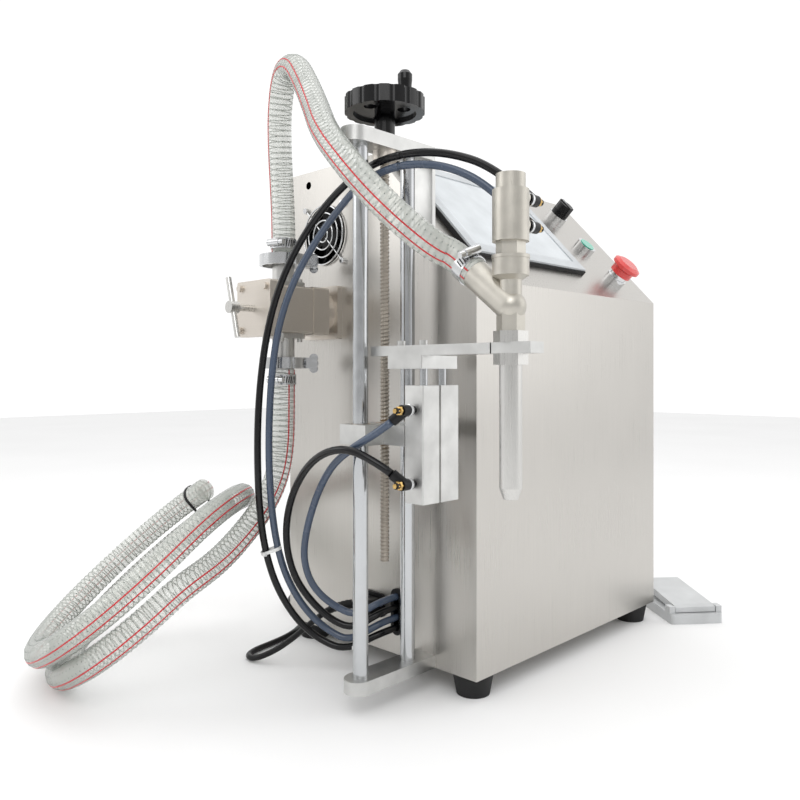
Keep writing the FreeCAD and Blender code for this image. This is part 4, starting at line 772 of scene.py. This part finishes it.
class FILLER_OT_power_cord(bpy.types.Operator):
    """Makes the mains cord from the inlet to its coil and plug, with the relief at the connector."""
    bl_idname = "filler.power_cord"
    bl_label = "Power cord"

    def execute(self, context):
        plug_y = COIL_AT.y + 24
        route = CORD_ROUTE[:-1] + coil_points() + [
            (126, 433, 12), (141, 425, 14), (148, 413, 15), (156.5, plug_y, 15)]
        data = nurbs_curve("power_cord_sheath", route)
        data.bevel_depth = CORD_RADIUS
        data.bevel_resolution = 6
        data.use_fill_caps = True
        data.materials.append(FINISH["cord"])
        made = bpy.data.objects.new("power_cord_sheath", data)
        context.scene.collection.objects.link(made)
        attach(made, "cabinet")
        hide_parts("power_cord", "power_cord_coil")
        line = nurbs_line(route)
        start = evenly(line, 0.001)[:RELIEF_RINGS]
        radii = np.array([(RELIEF_ROOT - RELIEF_TAPER * k) + (RELIEF_RIB if k % 5 < 3 and k > 4 else 0.0)
                          for k in range(RELIEF_RINGS)]) / 1000
        relief = join_skins("cord_relief", [(tube_skin(start, radii, 20), 0)], [FINISH["abs"]])
        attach(relief, "cabinet")
        return {"FINISHED"}


class FILLER_OT_discharge_hose(bpy.types.Operator):
    """Makes the clear hose that arches from the pump to the valve, in two parts parted at its highest point."""
    bl_idname = "filler.discharge_hose"
    bl_label = "Discharge hose"

    def execute(self, context):
        line = nurbs_line(DISCHARGE_ROUTE)
        even = evenly(line, HOSE_STEP)
        top = int(np.argmax(even[:, 2]))
        part = top / (len(even) - 1)
        for name, half, span, bodies in (
                ("discharge_hose_rise", even[:top + 1], (0.0, part), ("cabinet", "lift")),
                ("discharge_hose_fall", even[top:], (part, 1.0), ("lift", "head"))):
            made = hose(name, line, context.scene.filler_sizes, TO_LEFT, 0.7, span)
            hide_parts("discharge_hose")
            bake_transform(made)
        return {"FINISHED"}


class FILLER_OT_air_tubes(bpy.types.Operator):
    """Makes the black and blue air tubes of the valve and the cylinder, with their ties."""
    bl_idname = "filler.air_tubes"
    bl_label = "Air tubes"

    def execute(self, context):
        halves = [split_at_top(nurbs_line(route)) for route in NOZZLE_TUBES]
        near = plain_tubes("nozzle_tubes_near", [h[0] for h in halves], AIR_TUBE_RADIUS, ["tube_black", "tube_blue"])
        far = plain_tubes("nozzle_tubes_far", [h[1] for h in halves], AIR_TUBE_RADIUS, ["tube_black", "tube_blue"])
        both = plain_tubes("cylinder_tubes", [nurbs_line(route) for route in CYLINDER_TUBES],
                           AIR_TUBE_RADIUS, ["tube_blue", "tube_black"])
        for made, node in ((near, "air_tubes_nozzle"), (far, "air_tubes_nozzle"), (both, "air_tubes_cylinder")):
            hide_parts(node)
        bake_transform(near)
        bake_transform(far)
        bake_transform(both)
        width = context.scene.filler_sizes.tie_width
        for name, one, other, way, radius in (
                ("tube_tie", (-121, 207, 148), (-112.5, 197, 153), (0.33, -0.05, -1), 4.3),
                ("tube_tie_low", (-47, 137, 41), (-46, 133, 68), (0.55, -0.83, 0.1), 4.4)):
            band, head = tie_band(one, other, way, radius, width)
            tie = crease(join_skins(name, [(band, 0), (head, 0)], [FINISH["white"]]))
            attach(tie, "cabinet")
        return {"FINISHED"}


class FILLER_OT_clamp_slot_shade(bpy.types.Operator):
    """Marks the slots stamped in the bands of the three hose clamps with black blocks: painted shade inside the slots.
    """
    bl_idname = "filler.clamp_slots"
    bl_label = "Clamp slots"

    def execute(self, context):
        before, mouth = Vector(DISCHARGE_ROUTE[-2]), Vector(DISCHARGE_ROUTE[-1])
        axis = (mouth - before).normalized()
        low, high = Vector(DISCHARGE_ROUTE[0]), Vector(SUCTION_ROUTE[0])
        for name, body, middle, way in (
                ("nozzle_clamp_slot_shade", "head", mouth - axis * 11, axis),
                ("upper_clamp_slot_shade", "cabinet", low + Vector((0, 0, 12)), Vector((0, 0, 1))),
                ("lower_clamp_slot_shade", "cabinet", high - Vector((0, 0, 12)), Vector((0, 0, 1)))):
            # the black gasket finish on these blocks is painted shade inside the slots
            made = join_skins(name, slot_shade_skins(middle, way, HOSE_RADIUS + CLAMP_BAND), [FINISH["gasket"]], False)
            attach(made, body)
        return {"FINISHED"}


class FILLER_OT_screw(bpy.types.Operator):
    """Makes the lead screw with its thread, closed at both ends."""
    bl_idname = "filler.screw"
    bl_label = "Lead screw thread"

    def execute(self, context):
        low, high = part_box("lead_screw")
        x, y = (low.x + high.x) / 2, (low.y + high.y) / 2
        pitch = context.scene.filler_sizes.thread_pitch / 1000
        turn = np.linspace(0, 2 * math.pi, SCREW_SIDES, endpoint=False)
        rings = []
        for z in np.arange(low.z, high.z, SCREW_STEP):
            ramp = ((z - low.z) / pitch - turn / (2 * math.pi)) % 1.0
            valley = np.clip(np.minimum(ramp, 1 - ramp) * THREAD_FLANK - THREAD_CREST, 0, 1)
            r = SCREW_RADIUS - THREAD_DEPTH * valley
            rings.append(np.stack([x + r * np.cos(turn), y + r * np.sin(turn), np.full(SCREW_SIDES, z)], axis=1))
        made = join_skins("screw_thread", [(skin(rings, caps=True), 0)], [FINISH["thread"]])
        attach(made, "wheel")
        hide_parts("lead_screw")
        return {"FINISHED"}


class FILLER_OT_fitting_screws(bpy.types.Operator):
    """Adds the brass flow screws that stand out of the black elbows."""
    bl_idname = "filler.fitting_screws"
    bl_label = "Flow screws"

    def execute(self, context):
        profile = [(3.4, 18.6), (4.6, 19.0), (4.6, 22.0), (3.5, 22.3), (3.5, 24.2), (2.6, 24.6), (2.6, 27.2),
                   (0, 27.4)]
        ring = [(6.0, 5.6), (6.1, 6.0), (6.1, 8.2), (5.4, 8.6)]
        for name, body, slot, ports, way in (
                ("cylinder_flow_screws", "lift", "cylinder_aluminium", [(-89, 7, 314), (-89, 7, 242)], (-1, 0, 0)),
                ("valve_flow_screws", "head", "bush_bronze", [(-59.6, -103, 484), (-59.6, -103, 508.5)], (1, 0, 0))):
            parts = []
            for port in ports:
                parts.append((lathe_skin(at(*port), way, profile, 6), 0))
                parts.append((lathe_skin(at(*port), way, ring, 32), 1))
            made = crease(join_skins(name, parts, [FINISH["brass"], FINISH["chrome"]]))
            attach(made, body)
        return {"FINISHED"}


class FILLER_OT_panel_trims(bpy.types.Operator):
    """Adds the gasket under the panel frame, whose black strips also paint shade on the frame's side walls, and the
    mark on the selector.
    """
    bl_idname = "filler.panel_trims"
    bl_label = "Panel trims"

    def execute(self, context):
        gasket = []
        for x, s in GASKET_AND_SHADE_STRIPS:
            gasket.append((panel_block(x, s, GASKET_AND_SHADE_PROUD, 0.4), 0))
        made = join_skins("panel_gasket_and_side_shade", gasket, [FINISH["gasket"]], smooth=False)
        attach(made, "cabinet")
        mark = join_skins("selector_mark", [(panel_block(*SELECTOR_MARK, 0.15), 0)], [FINISH["frame"]], smooth=False)
        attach(mark, "selector")
        return {"FINISHED"}


class FILLER_OT_dress(bpy.types.Operator):
    """Gives every fixed part its finish."""
    bl_idname = "filler.dress"
    bl_label = "Dress the parts"

    def execute(self, context):
        for finish, nodes in (
                ("sheet", ("cabinet_shell", "base_pan")), ("rubber", ("feet",)),
                ("shaft", ("guide_column_left", "guide_column_right", "cylinder_rods")),
                ("plate", ("column_top_plate", "column_foot_plate", "column_side_bar", "carriage",
                           "cylinder_end_plate", "nozzle_arm")),
                ("barrel", ("cylinder_body",)), ("bronze", ("carriage_bushes",)), ("block", ("screw_bearing",)),
                ("phenolic", ("handwheel", "wheel_handle")),
                ("tube", ("nozzle_tube", "pump_ports", "valve_stem", "pump_t_handle")),
                ("cast", ("valve_body", "valve_actuator")),
                ("fitting", ("actuator_fittings", "cylinder_fittings")), ("chrome", ("fan_guard", "button_housings")),
                ("abs", ("fan_frame", "fan_rotor", "side_inlets", "cord_connectors")),
                ("block", ("pump_mount_plate", "pump_end_cover", "pump_housing", "pump_front_plate",
                           "pump_rotor_drive", "pump_rotor_idler")),
                ("clamp", ("tri_clamp_high", "tri_clamp_low", "wing_nut_high", "wing_nut_low", "pump_hose_clamps",
                           "nozzle_hose_clamp")),
                ("motor", ("servo_motor",)), ("case", ("cabinet_electrics",)), ("frame", ("hmi_bezel",)),
                ("screen", ("hmi_screen",)), ("knob", ("selector_knob",)), ("green", ("start_button_cap",)),
                ("red", ("estop_head",)), ("enamel", ("pedal_base", "pedal_treadle")),
                ("thread", ("lead_screw",)),
                ("pvc", ("discharge_hose", "suction_hose", "suction_hose_loops")),
                ("tube_black", ("air_tubes_nozzle", "air_tubes_cylinder")),
                ("cord", ("power_cord", "power_cord_coil"))):
            dress(FINISH[finish], *nodes)
        return {"FINISHED"}


class FILLER_PT_panel(bpy.types.Panel):
    """Lists the filler's pieces and settings in the sidebar."""
    bl_label = "Liquid filler"
    bl_idname = "FILLER_PT_panel"
    bl_space_type = "VIEW_3D"
    bl_region_type = "UI"
    bl_category = "Filler"

    def draw(self, context):
        for maker in MAKERS:
            self.layout.operator(maker.bl_idname)
        for group in (context.scene.filler_sizes, context.scene.filler_colours):
            for name in type(group).__annotations__:
                self.layout.prop(group, name)


MAKERS = (
    FILLER_OT_stage, FILLER_OT_finishes, FILLER_OT_suction_hose, FILLER_OT_power_cord, FILLER_OT_discharge_hose,
    FILLER_OT_air_tubes, FILLER_OT_clamp_slot_shade, FILLER_OT_screw, FILLER_OT_fitting_screws, FILLER_OT_panel_trims,
    FILLER_OT_dress,
)
CLASSES = (FillerSizes, FillerColours, *MAKERS, FILLER_PT_panel)


def register():
    """Registers every class and hangs the settings on the scene."""
    for one in CLASSES:
        bpy.utils.register_class(one)
    bpy.types.Scene.filler_sizes = bpy.props.PointerProperty(type=FillerSizes)
    bpy.types.Scene.filler_colours = bpy.props.PointerProperty(type=FillerColours)


def unregister():
    """Takes the settings and the classes away again."""
    del bpy.types.Scene.filler_colours
    del bpy.types.Scene.filler_sizes
    for one in reversed(CLASSES):
        bpy.utils.unregister_class(one)


def main():
    """Builds every piece in order."""
    register()
    for maker in MAKERS:
        group, name = maker.bl_idname.split(".")
        getattr(getattr(bpy.ops, group), name)()


if __name__ == "__main__":
    main()
